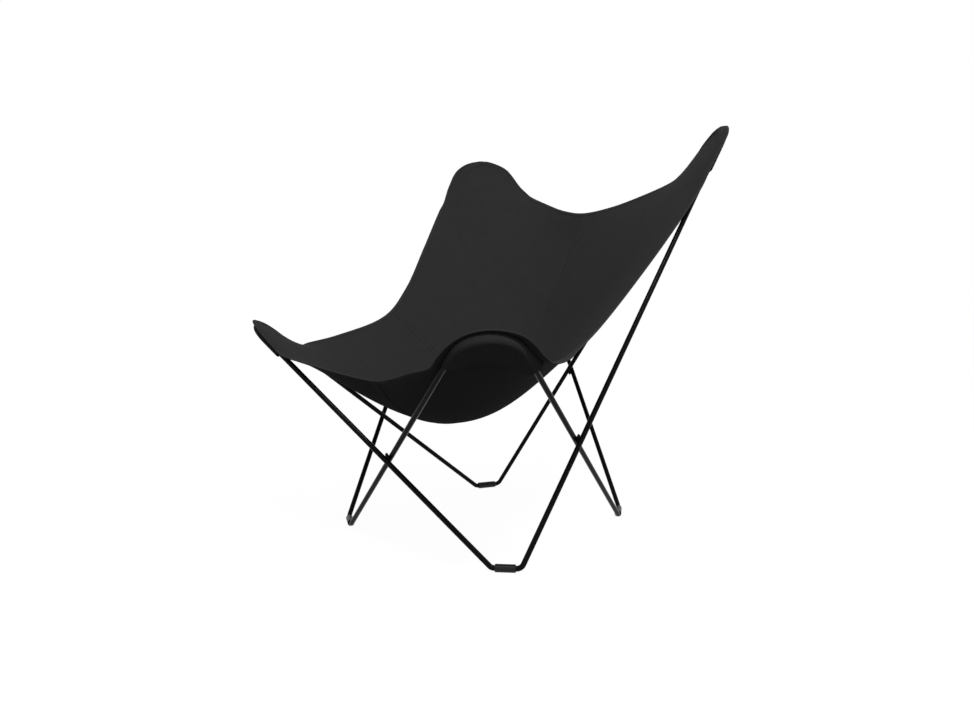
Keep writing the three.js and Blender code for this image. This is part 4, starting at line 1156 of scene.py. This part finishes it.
def make_floor():
    mesh = bpy.data.meshes.new("floor")
    mesh.from_pydata([(x, y, 0) for x, y in ((-30, -30), (30, -30), (30, 30), (-30, 30))], [],
                     [(0, 1, 2, 3)])
    floor = bpy.data.objects.new("floor", mesh)
    bpy.context.scene.collection.objects.link(floor)
    material = bpy.data.materials.new("floor")
    material.use_nodes = True
    tree = material.node_tree
    tree.nodes.clear()
    path = tree.nodes.new("ShaderNodeLightPath")
    seen = tree.nodes.new("ShaderNodeMath")
    seen.operation = "MAXIMUM"
    seen_too = tree.nodes.new("ShaderNodeMath")
    seen_too.operation = "MAXIMUM"
    tree.links.new(path.outputs["Is Camera Ray"], seen.inputs[0])
    tree.links.new(path.outputs["Is Glossy Ray"], seen.inputs[1])
    tree.links.new(seen.outputs[0], seen_too.inputs[0])
    tree.links.new(path.outputs["Is Transmission Ray"], seen_too.inputs[1])
    dim = tree.nodes.new("ShaderNodeBsdfDiffuse")
    dim.inputs["Color"].default_value = (0.2, 0.2, 0.2, 1)
    pale = tree.nodes.new("ShaderNodeBsdfDiffuse")
    pale.inputs["Color"].default_value = (0.14, 0.14, 0.14, 1)
    glow = tree.nodes.new("ShaderNodeEmission")
    glow.inputs["Strength"].default_value = 0.95
    both = tree.nodes.new("ShaderNodeAddShader")
    tree.links.new(pale.outputs[0], both.inputs[0])
    tree.links.new(glow.outputs[0], both.inputs[1])
    mix = tree.nodes.new("ShaderNodeMixShader")
    tree.links.new(seen_too.outputs[0], mix.inputs[0])
    tree.links.new(dim.outputs[0], mix.inputs[1])
    tree.links.new(both.outputs[0], mix.inputs[2])
    output = tree.nodes.new("ShaderNodeOutputMaterial")
    tree.links.new(mix.outputs[0], output.inputs["Surface"])
    mesh.materials.append(material)


def make_world():
    world = bpy.data.worlds.new("studio")
    bpy.context.scene.world = world
    world.use_nodes = True
    world.node_tree.nodes["Background"].inputs["Color"].default_value = (1, 1, 1, 1)
    tree = world.node_tree
    path = tree.nodes.new("ShaderNodeLightPath")
    seen = tree.nodes.new("ShaderNodeMath")
    seen.operation = "MAXIMUM"
    tree.links.new(path.outputs["Is Camera Ray"], seen.inputs[0])
    tree.links.new(path.outputs["Is Glossy Ray"], seen.inputs[1])
    seen_too = tree.nodes.new("ShaderNodeMath")
    seen_too.operation = "MAXIMUM"
    tree.links.new(seen.outputs[0], seen_too.inputs[0])
    tree.links.new(path.outputs["Is Transmission Ray"], seen_too.inputs[1])
    strength = tree.nodes.new("ShaderNodeMapRange")
    tree.links.new(seen_too.outputs[0], strength.inputs["Value"])
    strength.inputs["To Min"].default_value = DOME_LIGHT
    strength.inputs["To Max"].default_value = 1.0
    tree.links.new(strength.outputs[0], tree.nodes["Background"].inputs["Strength"])


def make_softbox(name, place, aim, size, strength):
    """A rectangular lamp of the given radiance that looks at a place."""
    data = bpy.data.lights.new(name, "AREA")
    data.shape = "RECTANGLE"
    data.size, data.size_y = size
    data.energy = strength * math.pi * size[0] * size[1]
    lamp = bpy.data.objects.new(name, data)
    bpy.context.scene.collection.objects.link(lamp)
    lamp.location = place
    lamp.rotation_euler = (Vector(aim) - Vector(place)).to_track_quat("-Z", "Y").to_euler()


def make_camera():
    target = vec(9.84, -35.64, 400.08) / 1000
    position = vec(1146.3, -1386.06, 544.2) / 1000
    look = unit(target - position)
    right = unit(np.cross(look, vec(0, 0, 1)))
    up = np.cross(right, look)
    roll = math.radians(-0.119)
    x_axis = right * math.cos(roll) + up * math.sin(roll)
    y_axis = up * math.cos(roll) - right * math.sin(roll)
    data = bpy.data.cameras.new("camera")
    data.sensor_fit = "HORIZONTAL"
    data.sensor_width = 36
    data.lens = 28.662
    camera = bpy.data.objects.new("camera", data)
    bpy.context.scene.collection.objects.link(camera)
    matrix = Matrix.Identity(4)
    for k in range(3):
        matrix[k][0], matrix[k][1], matrix[k][2] = x_axis[k], y_axis[k], -look[k]
        matrix[k][3] = position[k]
    camera.matrix_world = matrix
    bpy.context.scene.camera = camera


make_floor()
make_world()
make_softbox("overhead", (1.25, -0.7, 2.5), (0, 0, 0.4), (1.45, 0.2), 36)
make_camera()
bpy.context.scene.view_settings.view_transform = "Standard"
